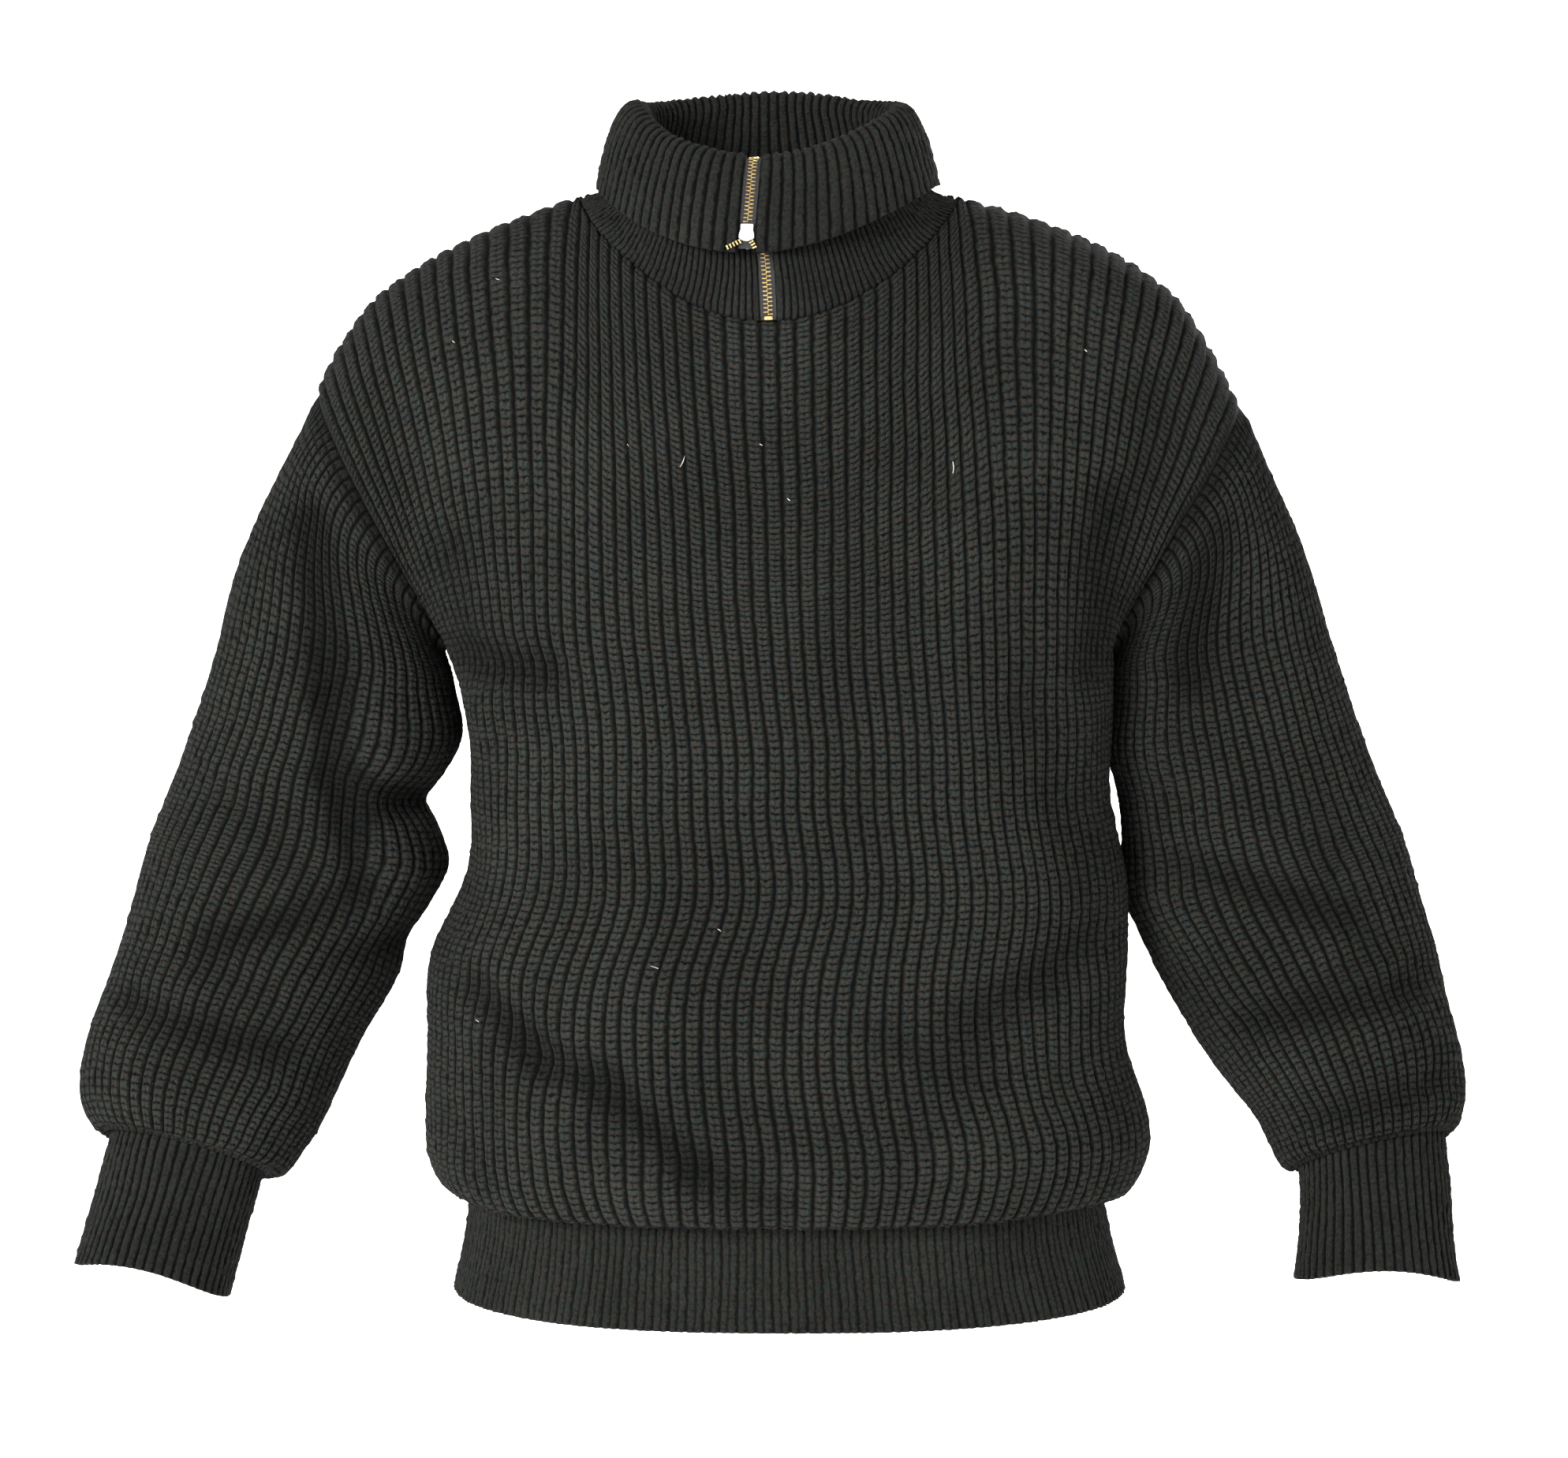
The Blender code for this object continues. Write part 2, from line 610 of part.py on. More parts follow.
def material(name, colour, roughness, metallic):
    made = bpy.data.materials.new(name)
    made.use_nodes = True
    shader = made.node_tree.nodes["Principled BSDF"]
    shader.inputs["Base Color"].default_value = (*colour, 1.0)
    shader.inputs["Roughness"].default_value = roughness
    shader.inputs["Metallic"].default_value = metallic
    made.diffuse_color = (*colour, 1.0)
    return made


def place_object(name, mesh, collection, finish):
    """One named object with a material of its own."""
    made = bpy.data.objects.new(name, mesh)
    mesh.materials.append(material(name, *finish))
    collection.objects.link(made)
    return made


def make_panel(name, face, levels, yoke_rows, collection):
    share = np.linspace(-1.0, 1.0, 2 * BODY_RIBS + 1)
    rows = [*levels, *yoke_levels(yoke_rows)[1:]]
    points, normals, folds = panel_surface(face, share, rows)
    outer = ribbed(points, normals, RIB_RISE, folds)
    keep = slice(None, None, 2 * RIBS_PER_INNER_STRIP)
    inner = plain_inside(points, normals, folds, 2 * RIBS_PER_INNER_STRIP, False)
    by_neck = np.abs(share[keep]) < NECK_SHARE + 0.01
    inner[-1, by_neck] -= NECK_RIM_DROP * unit(points[-1, keep] - points[-2, keep])[by_neck]
    inner[0] += HEM_RIM_BACK * unit((points[1, keep] - points[0, keep]) * [1, 1, 0])
    place_object(name, wall_mesh(name, outer, inner, False), collection, (CHARCOAL, 0.95, 0.0))


def make_sleeve(name, side, rows, collection):
    strips_per_row = SLEEVE_RIBS // YOKE_ROWS
    points, normals, folds = sleeve_surface(side, rows, strips_per_row, SLEEVE_STATIONS)
    outer = ribbed(points, normals, RIB_RISE, folds)
    strip = SLEEVE_COLUMNS_PER_INNER_STRIP
    inner = plain_inside(points, normals, folds, strip, True)
    inner[-1] += CUFF_RIM_BACK * unit(points[-2, ::strip] - points[-1, ::strip])
    place_object(name, wall_mesh(name, outer, inner, True), collection, (CHARCOAL, 0.95, 0.0))


def make_cuff(name, side, rows, sleeve_rows, clearance, collection):
    count = 2 * CUFF_RIBS
    turn = np.arange(count) / count
    stations = range(len(rows["out"]))
    seam, seam_out, down = ring(sleeve_rows, len(sleeve_rows["out"]) - 1, turn, side)
    points, normals = [], []
    for station in stations:
        if station == 0:
            points.append(seam - seam_out * clearance - down * CUFF_LAP)
            normals.append(seam_out)
        else:
            line, outward, _ = ring(rows, station, turn, side)
            points.append(line)
            normals.append(outward)
    points, normals = np.array(points), np.array(normals)
    outer = ribbed(points, normals, FINE_RIB_RISE)
    outer[0] = points[0]
    inner = points[:, ::4] - WALL * normals[:, ::4]
    place_object(name, wall_mesh(name, outer, inner, True), collection, (CHARCOAL, 0.95, 0.0))


def make_hem_band(name, face, collection):
    share = np.linspace(-1.0, 1.0, 2 * HEM_RIBS + 1)
    step = 0.004
    points, normals = [], []
    for place in range(len(HEM["height"])):
        base = section(HEM, place, share, face)
        across = section(HEM, place, np.clip(share + step, -1, 1), face) - section(
            HEM, place, np.clip(share - step, -1, 1), face)
        normal = unit(np.cross(across, [0.0, 0.0, 1.0])) * -face
        normal[[0, -1], 1] = 0.0
        points.append(base)
        normals.append(unit(normal))
    points, normals = np.array(points), np.array(normals)
    outer = ribbed(points, normals, FINE_RIB_RISE)
    outer[0] = points[0]
    inner = points[:, ::8] - WALL * normals[:, ::8]
    place_object(name, wall_mesh(name, outer, inner, False), collection, (CHARCOAL, 0.95, 0.0))


def collar_line(turn, station):
    """A line round the collar, from one side of the front opening (0) round to the other (1)."""
    row = read_row(COLLAR, station)
    opening = math.asin(OPENING_HALF / row["half_width"])
    angle = opening + np.asarray(turn) * (2 * math.pi - 2 * opening)
    cosine = np.cos(angle)
    front = cosine > 0
    size = np.abs(cosine)
    depth = np.where(front, row["front"], row["back"])
    height = np.where(front, row["front_height"], row["back_height"])
    x = row["half_width"] * np.sin(angle)
    y = np.where(front, -1.0, 1.0) * depth * size ** row["round"]
    z = row["side_height"] + (height - row["side_height"]) * size ** NECK_DIP
    shift = math.radians(row["turn"]) * (0.5 + 0.5 * cosine)
    x, y = x * np.cos(shift) - y * np.sin(shift), x * np.sin(shift) + y * np.cos(shift)
    return np.stack([x, y, z], axis=-1)


def neck_ring(turn):
    """The collar's lower edge: the neck seam itself, a seam's gap above it."""
    opening = math.asin(OPENING_HALF / NECK_HALF_WIDTH)
    angle = opening + np.asarray(turn) * (2 * math.pi - 2 * opening)
    points, normals = [], []
    for value in angle:
        face = FRONT if math.cos(value) > 0 else BACK
        side = 1.0 if math.sin(value) >= 0 else -1.0
        from_front = math.asin(min(max(math.sin(value), -1.0), 1.0))
        seam = neckline(np.array([from_front]), face)[0]
        step = 0.01 * face
        along = (neckline(np.array([from_front + step]), face)[0]
                 - neckline(np.array([from_front - step]), face)[0])
        normal = neck_normal(abs(from_front) / (math.pi / 2), side, face)
        up = unit(np.cross(along, normal))
        up = up if up[2] > 0 else -up
        points.append(seam - normal * WALL / 2 + up * NECK_SEAM_GAP)
        normals.append(normal)
    return np.array(points), np.array(normals)


def collar_surface(turn, stations):
    """Middle points of the collar's wall and the direction to its outer side."""
    step = 0.004
    points, normals = [], []
    last = len(COLLAR["front"]) - 1
    for station in stations:
        if station == 0:
            line, outward = neck_ring(turn)
            points.append(line)
            normals.append(outward)
            continue
        around = collar_line(turn + step, station) - collar_line(turn - step, station)
        up = collar_line(turn, min(station + 0.05, last)) - collar_line(turn, max(station - 0.05, 0))
        points.append(collar_line(turn, station))
        normals.append(unit(np.cross(around, up)))
    return np.array(points), np.array(normals)


def make_collar(collection):
    ribs = np.linspace(0.0, 1.0, 2 * COLLAR_RIBS + 1)
    points, normals = collar_surface(ribs, COLLAR_STATIONS)
    inner_side = ribbed(points - normals * COLLAR_WALL / 2, -normals, FINE_RIB_RISE)
    keep = slice(None, None, 2 * COLLAR_RIBS // COLLAR_STRIPS)
    outer_side = points[:, keep] + normals[:, keep] * COLLAR_WALL / 2
    mesh = wall_mesh("collar", inner_side, outer_side, False)
    place_object("collar", mesh, collection, (CHARCOAL, 0.95, 0.0))


def zip_line(station):
    """Middle of the zip where it runs along the collar's front opening, and its directions."""
    last = len(COLLAR["front"]) - 1
    ends = collar_line(np.array([0.0, 1.0]), station)
    ahead = collar_line(np.array([0.0, 1.0]), min(station + 0.1, last)).mean(axis=0)
    behind = collar_line(np.array([0.0, 1.0]), max(station - 0.1, 0)).mean(axis=0)
    along = unit(ahead - behind)
    across = unit(ends[0] - ends[1])
    across = unit(across - (across @ along) * along)
    return ends.mean(axis=0), along, across, np.cross(along, across)


def strip_mesh(name, centres, across, through, near, far, half_thickness):
    """A flat strip of even thickness swept along a line of points."""
    mesh = bmesh.new()
    rings = []
    for centre, wide, deep in zip(centres, across, through):
        corners = [(near, -half_thickness), (far, -half_thickness),
                   (far, half_thickness), (near, half_thickness)]
        rings.append([mesh.verts.new(centre + wide * a + deep * b) for a, b in corners])
    for first, second in zip(rings[:-1], rings[1:]):
        for place in range(4):
            after = (place + 1) % 4
            mesh.faces.new((first[place], first[after], second[after], second[place]))
    mesh.faces.new(rings[0])
    mesh.faces.new(rings[-1])
    bmesh.ops.recalc_face_normals(mesh, faces=mesh.faces)
    return finish_mesh(name, mesh)


def make_zip_strips(collection):
    stations = np.linspace(CHAIN_START, CHAIN_END, CHAIN_STEPS + 1)
    lines = [zip_line(station) for station in stations]
    centres = [line[0] for line in lines]
    across = [line[2] for line in lines]
    through = [line[3] for line in lines]
    chain = strip_mesh("zip_chain", centres, across, through,
                       -CHAIN_HALF_WIDTH, CHAIN_HALF_WIDTH, CHAIN_HALF_THICKNESS)
    place_object("zip_chain", chain, collection, (BRASS, 0.35, 1.0))
    for name, sign in (("zip_tape_left", 1), ("zip_tape_right", -1)):
        tape = strip_mesh(name, centres, across, through,
                          sign * TAPE_INNER_EDGE, sign * TAPE_OUTER_EDGE, TAPE_HALF_THICKNESS)
        place_object(name, tape, collection, (TAPE_BLACK, 0.9, 0.0))


def slider_place():
    """The slider's own frame: X across, Y through the flap towards the stand, Z up the chain."""
    centre, along, across, _ = zip_line(SLIDER_STATION)
    up = -along
    through = unit(np.cross(up, across))
    across = np.cross(through, up)
    if through[1] < 0:
        through, across = -through, -across
    frame = Matrix((across, through, up)).transposed().to_4x4()
    frame.translation = Vector(centre)
    return frame


def outline_mesh(name, outlines, half_depth):
    """A flat outline in X and Y, with its holes, thickened to both sides along Z."""
    curve = bpy.data.curves.new(name, "CURVE")
    curve.dimensions = "2D"
    curve.fill_mode = "BOTH"
    curve.extrude = half_depth
    for outline in outlines:
        spline = curve.splines.new("POLY")
        spline.points.add(len(outline) - 1)
        for point, (x, y) in zip(spline.points, outline):
            point.co = (x, y, 0.0, 1.0)
        spline.use_cyclic_u = True
    holder = bpy.data.objects.new(name + "_outline", curve)
    bpy.context.scene.collection.objects.link(holder)
    bpy.context.view_layer.update()
    shape = holder.evaluated_get(bpy.context.evaluated_depsgraph_get())
    data = bpy.data.meshes.new_from_object(shape)
    bpy.data.objects.remove(holder)
    mesh = bmesh.new()
    mesh.from_mesh(data)
    bmesh.ops.remove_doubles(mesh, verts=mesh.verts, dist=0.00001)
    bmesh.ops.recalc_face_normals(mesh, faces=mesh.faces)
    mesh.to_mesh(data)
    mesh.free()
    return data


def turned(data, matrix):
    data.transform(matrix)
    return data


def slider_outline():
    """Narrow square top and a wide rounded foot."""
    half = SLIDER_LENGTH / 2
    top, wide = SLIDER_TOP_WIDTH / 2, SLIDER_WIDTH / 2
    right = [(top, half), (top, half * 0.30), (wide, -half * 0.20), (wide, -half * 0.60),
             (wide * 0.62, -half * 0.94), (0.0, -half)]
    return right + [(-x, y) for x, y in reversed(right[:-1])]


def make_slider(frame, collection):
    """The slider's body with the bridge that its pull hangs from, on the side of the stand."""
    upright = Matrix.Rotation(math.radians(90), 4, "X")
    plate = turned(outline_mesh("zip_slider", [slider_outline()], SLIDER_THICKNESS / 2), upright)
    face = SLIDER_THICKNESS / 2
    root = face - 0.0008
    long, hole = BRIDGE_HALF_LENGTH, BRIDGE_HALF_HOLE
    arch = [(root, -long), (face + BRIDGE_TOP, -long), (face + BRIDGE_TOP, long), (root, long)]
    gap = [(face, -hole), (face + BRIDGE_HOLE_TOP, -hole),
           (face + BRIDGE_HOLE_TOP, hole), (face, hole)]
    sideways = Matrix(((0, 0, 1, 0), (1, 0, 0, 0), (0, 1, 0, 0), (0, 0, 0, 1)))
    bridge = turned(outline_mesh("bridge", [arch, gap], BRIDGE_WIDTH / 2), sideways)
    slider = place_object("zip_slider", plate, collection, (NICKEL, 0.25, 1.0))
    helper = bpy.data.objects.new("bridge", bridge)
    bpy.context.scene.collection.objects.link(helper)
    join = slider.modifiers.new("bridge", "BOOLEAN")
    join.operation = "UNION"
    join.object = helper
    bpy.context.view_layer.update()
    joined = bpy.data.meshes.new_from_object(
        slider.evaluated_get(bpy.context.evaluated_depsgraph_get()))
    slider.modifiers.clear()
    slider.data = joined
    bpy.data.objects.remove(helper)
    slider.matrix_world = frame
    return slider


def make_pull(frame, collection):
    """The pull: a flat tab that hangs straight down, its upper bar under the bridge."""
    wide, eye = PULL_HALF_WIDTH, PULL_EYE_HALF_WIDTH
    tab = [(wide, PULL_BAR), (wide, -PULL_LENGTH + 0.0012), (wide - 0.0008, -PULL_LENGTH),
           (0.0008 - wide, -PULL_LENGTH), (-wide, -PULL_LENGTH + 0.0012), (-wide, PULL_BAR)]
    hole = [(eye, -PULL_BAR), (eye, -PULL_EYE_END), (-eye, -PULL_EYE_END), (-eye, -PULL_BAR)]
    upright = Matrix.Rotation(math.radians(90), 4, "X")
    mesh = turned(outline_mesh("zip_pull", [tab, hole], PULL_THICKNESS / 2), upright)
    pull = place_object("zip_pull", mesh, collection, (NICKEL, 0.25, 1.0))
    pivot = Matrix.Translation((0.0, SLIDER_THICKNESS / 2 + PIVOT_HEIGHT, 0.0))
    hang = math.atan2(-frame.col[1].z, frame.col[2].z)
    pull.matrix_world = frame @ pivot @ Matrix.Rotation(hang, 4, "X")
    return pull


def make_open_teeth(frame, collection):
    """The two open ends of the chain past the slider, which lie on the flap's edge."""
    routes = {
        "zip_open_right": ((-0.0030, -0.0056), (-0.0064, -0.0078), (-0.0105, -0.0100)),
        "zip_open_left": ((0.0030, -0.0056), (0.0048, -0.0082), (0.0060, -0.0106)),
    }
    for name, route in routes.items():
        centres, across, through = [], [], []
        count = len(route)
        for place, (x, z) in enumerate(route):
            ahead = Vector(route[min(place + 1, count - 1)])
            behind = Vector(route[max(place - 1, 0)])
            along = (ahead - behind).normalized()
            out = -OPEN_TEETH_OUT if place else -SLIDER_THICKNESS / 2 - 0.0006
            centres.append(np.array(frame @ Vector((x, out, z))))
            across.append(np.array(frame.to_3x3() @ Vector((along.y, 0.0, -along.x))))
            through.append(np.array(frame.to_3x3() @ Vector((0.0, 1.0, 0.0))))
        teeth = strip_mesh(name, centres, across, through, -OPEN_TEETH_HALF_WIDTH,
                           OPEN_TEETH_HALF_WIDTH, CHAIN_HALF_THICKNESS / 2)
        place_object(name, teeth, collection, (BRASS, 0.35, 1.0))


def main():
    for old in list(bpy.data.objects):
        bpy.data.objects.remove(old)
    collection = bpy.data.collections.new(COLLECTION)
    bpy.context.scene.collection.children.link(collection)
    make_panel("front_panel", FRONT, FRONT_LEVELS, YOKE_ROWS, collection)
    make_panel("back_panel", BACK, BACK_LEVELS, YOKE_ROWS, collection)
    make_sleeve("sleeve_right", -1, SLEEVE_RIGHT, collection)
    make_sleeve("sleeve_left", 1, SLEEVE_LEFT, collection)
    make_cuff("cuff_right", -1, CUFF_RIGHT, SLEEVE_RIGHT, CUFF_CLEARANCE_RIGHT, collection)
    make_cuff("cuff_left", 1, CUFF_LEFT, SLEEVE_LEFT, CUFF_CLEARANCE_LEFT, collection)
    make_hem_band("hem_band_front", FRONT, collection)
    make_hem_band("hem_band_back", BACK, collection)
    make_collar(collection)
    make_zip_strips(collection)
    frame = slider_place()
    make_slider(frame, collection)
    make_pull(frame, collection)
    make_open_teeth(frame, collection)


main()
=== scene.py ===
"""Looks of the quarter-zip roll-neck sweater, in chunky ribbed wool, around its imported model.

Metres, +Z up, the front faces -Y. Right and left are the wearer's: the right sleeve is at -X.
A place on a knitted piece is a share across it and a level, station or row along it, as in the
sections below. Loops are knitted along the rows and ribs run across them.
"""

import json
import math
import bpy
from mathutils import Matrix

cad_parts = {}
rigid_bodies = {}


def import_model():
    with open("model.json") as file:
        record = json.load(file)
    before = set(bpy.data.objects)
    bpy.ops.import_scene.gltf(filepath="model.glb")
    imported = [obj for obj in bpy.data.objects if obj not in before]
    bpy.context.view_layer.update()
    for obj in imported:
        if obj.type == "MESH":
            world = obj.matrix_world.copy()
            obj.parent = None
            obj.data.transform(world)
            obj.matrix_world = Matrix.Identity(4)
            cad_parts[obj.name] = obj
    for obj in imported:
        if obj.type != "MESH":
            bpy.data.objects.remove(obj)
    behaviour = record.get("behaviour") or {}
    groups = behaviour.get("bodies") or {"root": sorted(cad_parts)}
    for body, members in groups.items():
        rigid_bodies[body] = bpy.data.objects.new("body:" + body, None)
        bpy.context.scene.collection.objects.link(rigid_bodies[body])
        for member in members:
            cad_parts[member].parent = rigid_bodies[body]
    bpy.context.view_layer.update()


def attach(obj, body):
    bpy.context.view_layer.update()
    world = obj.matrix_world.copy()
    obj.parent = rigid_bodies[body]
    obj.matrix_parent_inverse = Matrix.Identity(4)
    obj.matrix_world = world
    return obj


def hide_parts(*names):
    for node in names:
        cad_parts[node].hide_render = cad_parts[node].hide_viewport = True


bl_info = {
    "name": "Quarter-zip Roll-neck Sweater",
    "version": (1, 0, 0),
    "blender": (4, 5, 0),
    "location": "3D View > Sidebar > Sweater",
    "description": "Knits a ribbed wool sweater with a zipped roll collar around its packed model",
    "category": "Object",
}

import bmesh
import bpy
import numpy as np
from mathutils import Matrix, Vector
from mathutils.bvhtree import BVHTree

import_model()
FRONT = -1
BACK = 1
CLOTH_BODY = "sweater"
PULL_BODY = "pull"

# Cloth
WALL = 0.003
SEAM_GAP = 0.0004
CUFF_LAP = 0.004
BODY_RIBS = 63
SLEEVE_RIBS = 56
HEM_RIBS = 56
CUFF_RIBS = 50
COLLAR_RIBS = 84
NECK_RIM_DROP = 0.0042
NECK_SEAM_GAP = 0.0009
HEM_RIM_BACK = 0.0028
CUFF_CLEARANCE = 0.0014
CUFF_DROP = 0.004
CUFF_TILT = 0.014
CUFF_ARCH = 0.010

# Mesh of the knit
COLUMNS = 6
ROWS_PER_STITCH = 1.25
LEAVE_SMOOTHING = 216
NECK_SMOOTHING = 90
UNDERARM_SMOOTHING = 160
NECK_SPREAD = 0.6
FULL_RIB = (0.08, 0.70, 1.0, 0.88, 1.0, 0.70)
ROUND_RIB = (0.0, 0.55, 0.92, 1.0, 0.92, 0.55)
PAIRED_RIB = (0.0, 0.85, 1.0, 0.45, 1.0, 0.85)
BACK_OF_RIB = (1.0, 0.85, 0.35, 0.0, 0.35, 0.85)
STAND_RIB = (0.0, 1.0, 1.0, 0.0, 1.0, 1.0)


def table(columns, *rows):
    """A short table with named columns, one row for each section or fold."""
    values = np.array(rows, float)
    return {name: values[:, place] for place, name in enumerate(columns.split())}


# Sections of the body from the hem seam up to the underarm
BODY = table(
    "height centre half_width front back",
    (-0.5870, 0.0105, 0.1940, 0.1345, 0.1285),
    (-0.5975, 0.0110, 0.2075, 0.1500, 0.1410),
    (-0.5810, 0.0110, 0.2175, 0.1590, 0.1490),
    (-0.5560, 0.0110, 0.2190, 0.1630, 0.1520),
    (-0.5080, 0.0050, 0.2115, 0.1590, 0.1480),
    (-0.4580, 0.0060, 0.2110, 0.1540, 0.1440),
    (-0.4070, 0.0160, 0.1990, 0.1490, 0.1410),
    (-0.3560, 0.0125, 0.1930, 0.1460, 0.1390),
    (-0.3060, 0.0120, 0.1945, 0.1440, 0.1380),
    (-0.2680, 0.0050, 0.2000, 0.1420, 0.1360),
)
UNDERARM = len(BODY["height"]) - 1
SQUARENESS = 2.35

# The ribbed hem band below the overhang of the body
HEM = table(
    "height centre half_width front back",
    (-0.5830, 0.0105, 0.1930, 0.1335, 0.1275),
    (-0.6200, 0.0110, 0.1955, 0.1370, 0.1320),
    (-0.6620, 0.0125, 0.2045, 0.1450, 0.1400),
)

# Neckline and shoulder seams
NECK_HALF_WIDTH = 0.115
NECK_FRONT = 0.105
NECK_BACK = 0.078
NECK_SIDE_HEIGHT = 0.001
NECK_FRONT_HEIGHT = -0.075
NECK_BACK_HEIGHT = 0.015
NECK_ROUND_FRONT = 1.15
NECK_ROUND_BACK = 1.25
NECK_DIP = 1.7
NECK_SHARE = 4 / 9
SHOULDER_RIGHT = table(
    "out height",
    (0.115, 0.001), (0.150, -0.011), (0.185, -0.025), (0.214, -0.041),
    (0.240, -0.061), (0.257, -0.086), (0.272, -0.115),
)
SHOULDER_LEFT = table(
    "out height",
    (0.115, 0.001), (0.150, -0.008), (0.187, -0.022), (0.218, -0.038),
    (0.245, -0.058), (0.265, -0.087), (0.284, -0.122),
)

# How each rib leaves the underarm section and meets the shoulder, in even steps from the
# middle of a panel to its side
YOKE = table(
    "out_start fore_start up_start back_end up_end",
    (0.000, 0.000, 0.190, 0.065, 0.165),
    (0.000, 0.005, 0.210, 0.090, 0.165),
    (0.000, 0.010, 0.275, 0.160, 0.135),
    (0.005, 0.015, 0.350, 0.220, 0.040),
    (0.020, 0.030, 0.350, 0.225, 0.010),
    (0.060, 0.070, 0.290, 0.235, 0.000),
    (0.120, 0.200, 0.210, 0.270, 0.000),
)

# Sleeve sections from below the armhole to the cuff seam, and the cuffs below them
SLEEVE_RIGHT = table(
    "out y height side depth",
    (0.2670, 0.010, -0.2770, 0.0690, 0.0740),
    (0.2820, 0.012, -0.3460, 0.0745, 0.0780),
    (0.2965, 0.008, -0.4110, 0.0855, 0.0810),
    (0.3230, -0.008, -0.4770, 0.0775, 0.0790),
    (0.3410, -0.024, -0.5280, 0.0745, 0.0740),
    (0.3500, -0.034, -0.5560, 0.0680, 0.0680),
    (0.3525, -0.040, -0.5715, 0.0585, 0.0590),
    (0.3530, -0.042, -0.5720, 0.0475, 0.0475),
)
SLEEVE_LEFT = table(
    "out y height side depth",
    (0.2760, 0.010, -0.2720, 0.0650, 0.0720),
    (0.2910, 0.012, -0.3420, 0.0740, 0.0770),
    (0.3075, 0.008, -0.4120, 0.0830, 0.0800),
    (0.3330, -0.008, -0.4760, 0.0765, 0.0780),
    (0.3545, -0.024, -0.5240, 0.0655, 0.0680),
    (0.3635, -0.034, -0.5540, 0.0590, 0.0600),
    (0.3650, -0.040, -0.5700, 0.0520, 0.0530),
    (0.3655, -0.042, -0.5705, 0.0450, 0.0450),
)
CUFF_RIGHT = table(
    "out y height side depth",
    (0.3530, -0.0420, -0.5720, 0.0475, 0.0475),
    (0.3600, -0.0560, -0.6050, 0.0450, 0.0450),
    (0.3690, -0.0730, -0.6420, 0.0465, 0.0465),
)
CUFF_LEFT = table(
    "out y height side depth",
    (0.3655, -0.0420, -0.5705, 0.0450, 0.0450),
    (0.3655, -0.0560, -0.6050, 0.0435, 0.0435),
    (0.3650, -0.0720, -0.6420, 0.0480, 0.0470),
)

# Largest folds, as soft lines seen from the front (-1) or the back (1): a trough has a depth
# below zero and a ridge one above zero
FOLDS = table(
    "face x_start z_start x_end z_end width rise",
    (-1, -0.172, -0.466, -0.133, -0.503, 0.013, -0.0060),
    (-1, -0.133, -0.503, -0.094, -0.516, 0.013, -0.0050),
    (-1, -0.094, -0.516, -0.045, -0.562, 0.014, -0.0050),
    (-1, -0.045, -0.562, 0.008, -0.582, 0.014, -0.0035),
    (-1, -0.120, -0.545, -0.075, -0.575, 0.020, 0.0040),
    (-1, -0.188, -0.276, -0.130, -0.276, 0.014, -0.0060),
    (-1, -0.165, -0.315, -0.150, -0.400, 0.024, 0.0030),
    (-1, -0.190, -0.210, -0.184, -0.262, 0.018, -0.0040),
    (-1, 0.204, -0.180, 0.197, -0.275, 0.018, -0.0050),
    (-1, 0.226, -0.115, 0.226, -0.165, 0.015, -0.0030),
    (-1, 0.150, -0.300, 0.185, -0.400, 0.020, -0.0030),
    (-1, 0.120, -0.480, 0.190, -0.440, 0.018, -0.0040),
    (-1, 0.060, -0.560, 0.150, -0.545, 0.022, 0.0040),
    (1, -0.188, -0.210, -0.180, -0.275, 0.018, -0.0040),
    (1, 0.206, -0.175, 0.190, -0.280, 0.018, -0.0050),
    (1, -0.120, -0.420, 0.020, -0.455, 0.018, -0.0050),
    (1, -0.030, -0.500, 0.150, -0.470, 0.020, -0.0050),
    (1, -0.150, -0.540, -0.020, -0.560, 0.018, -0.0045),
    (-1, -0.272, -0.190, -0.261, -0.290, 0.014, -0.0085),
    (-1, -0.261, -0.300, -0.243, -0.405, 0.013, -0.0080),
    (-1, -0.208, -0.362, -0.262, -0.342, 0.011, -0.0070),
    (-1, -0.240, -0.415, -0.330, -0.440, 0.014, -0.0050),
    (-1, -0.290, -0.505, -0.380, -0.480, 0.014, -0.0050),
    (-1, 0.262, -0.195, 0.250, -0.285, 0.015, -0.0070),
    (-1, 0.250, -0.400, 0.345, -0.425, 0.015, -0.0050),
    (-1, 0.290, -0.490, 0.385, -0.470, 0.014, -0.0050),
    (-1, 0.330, -0.545, 0.400, -0.525, 0.012, -0.0040),
    (1, -0.240, -0.350, -0.330, -0.375, 0.014, -0.0060),
    (1, -0.265, -0.430, -0.360, -0.445, 0.014, -0.0050),
    (1, 0.250, -0.350, 0.340, -0.375, 0.014, -0.0060),
    (1, 0.270, -0.440, 0.375, -0.455, 0.014, -0.0050),
)

# Smaller creases, in the same form as the folds
CREASES = table(
    "face x_start z_start x_end z_end width rise",
    (-1, -0.150, -0.300, -0.168, -0.395, 0.010, -0.0016),
    (-1, -0.110, -0.140, -0.100, -0.260, 0.020, 0.0018),
    (-1, 0.110, -0.140, 0.120, -0.250, 0.022, 0.0018),
    (-1, 0.055, -0.480, 0.130, -0.520, 0.012, -0.0022),
    (-1, 0.105, -0.575, 0.175, -0.520, 0.012, -0.0022),
    (-1, -0.190, -0.545, -0.165, -0.578, 0.012, -0.0022),
    (-1, -0.320, -0.360, -0.275, -0.405, 0.010, -0.0020),
    (-1, -0.345, -0.455, -0.300, -0.470, 0.010, -0.0020),
    (-1, 0.285, -0.355, 0.335, -0.395, 0.010, -0.0020),
    (-1, 0.365, -0.440, 0.320, -0.470, 0.010, -0.0020),
)

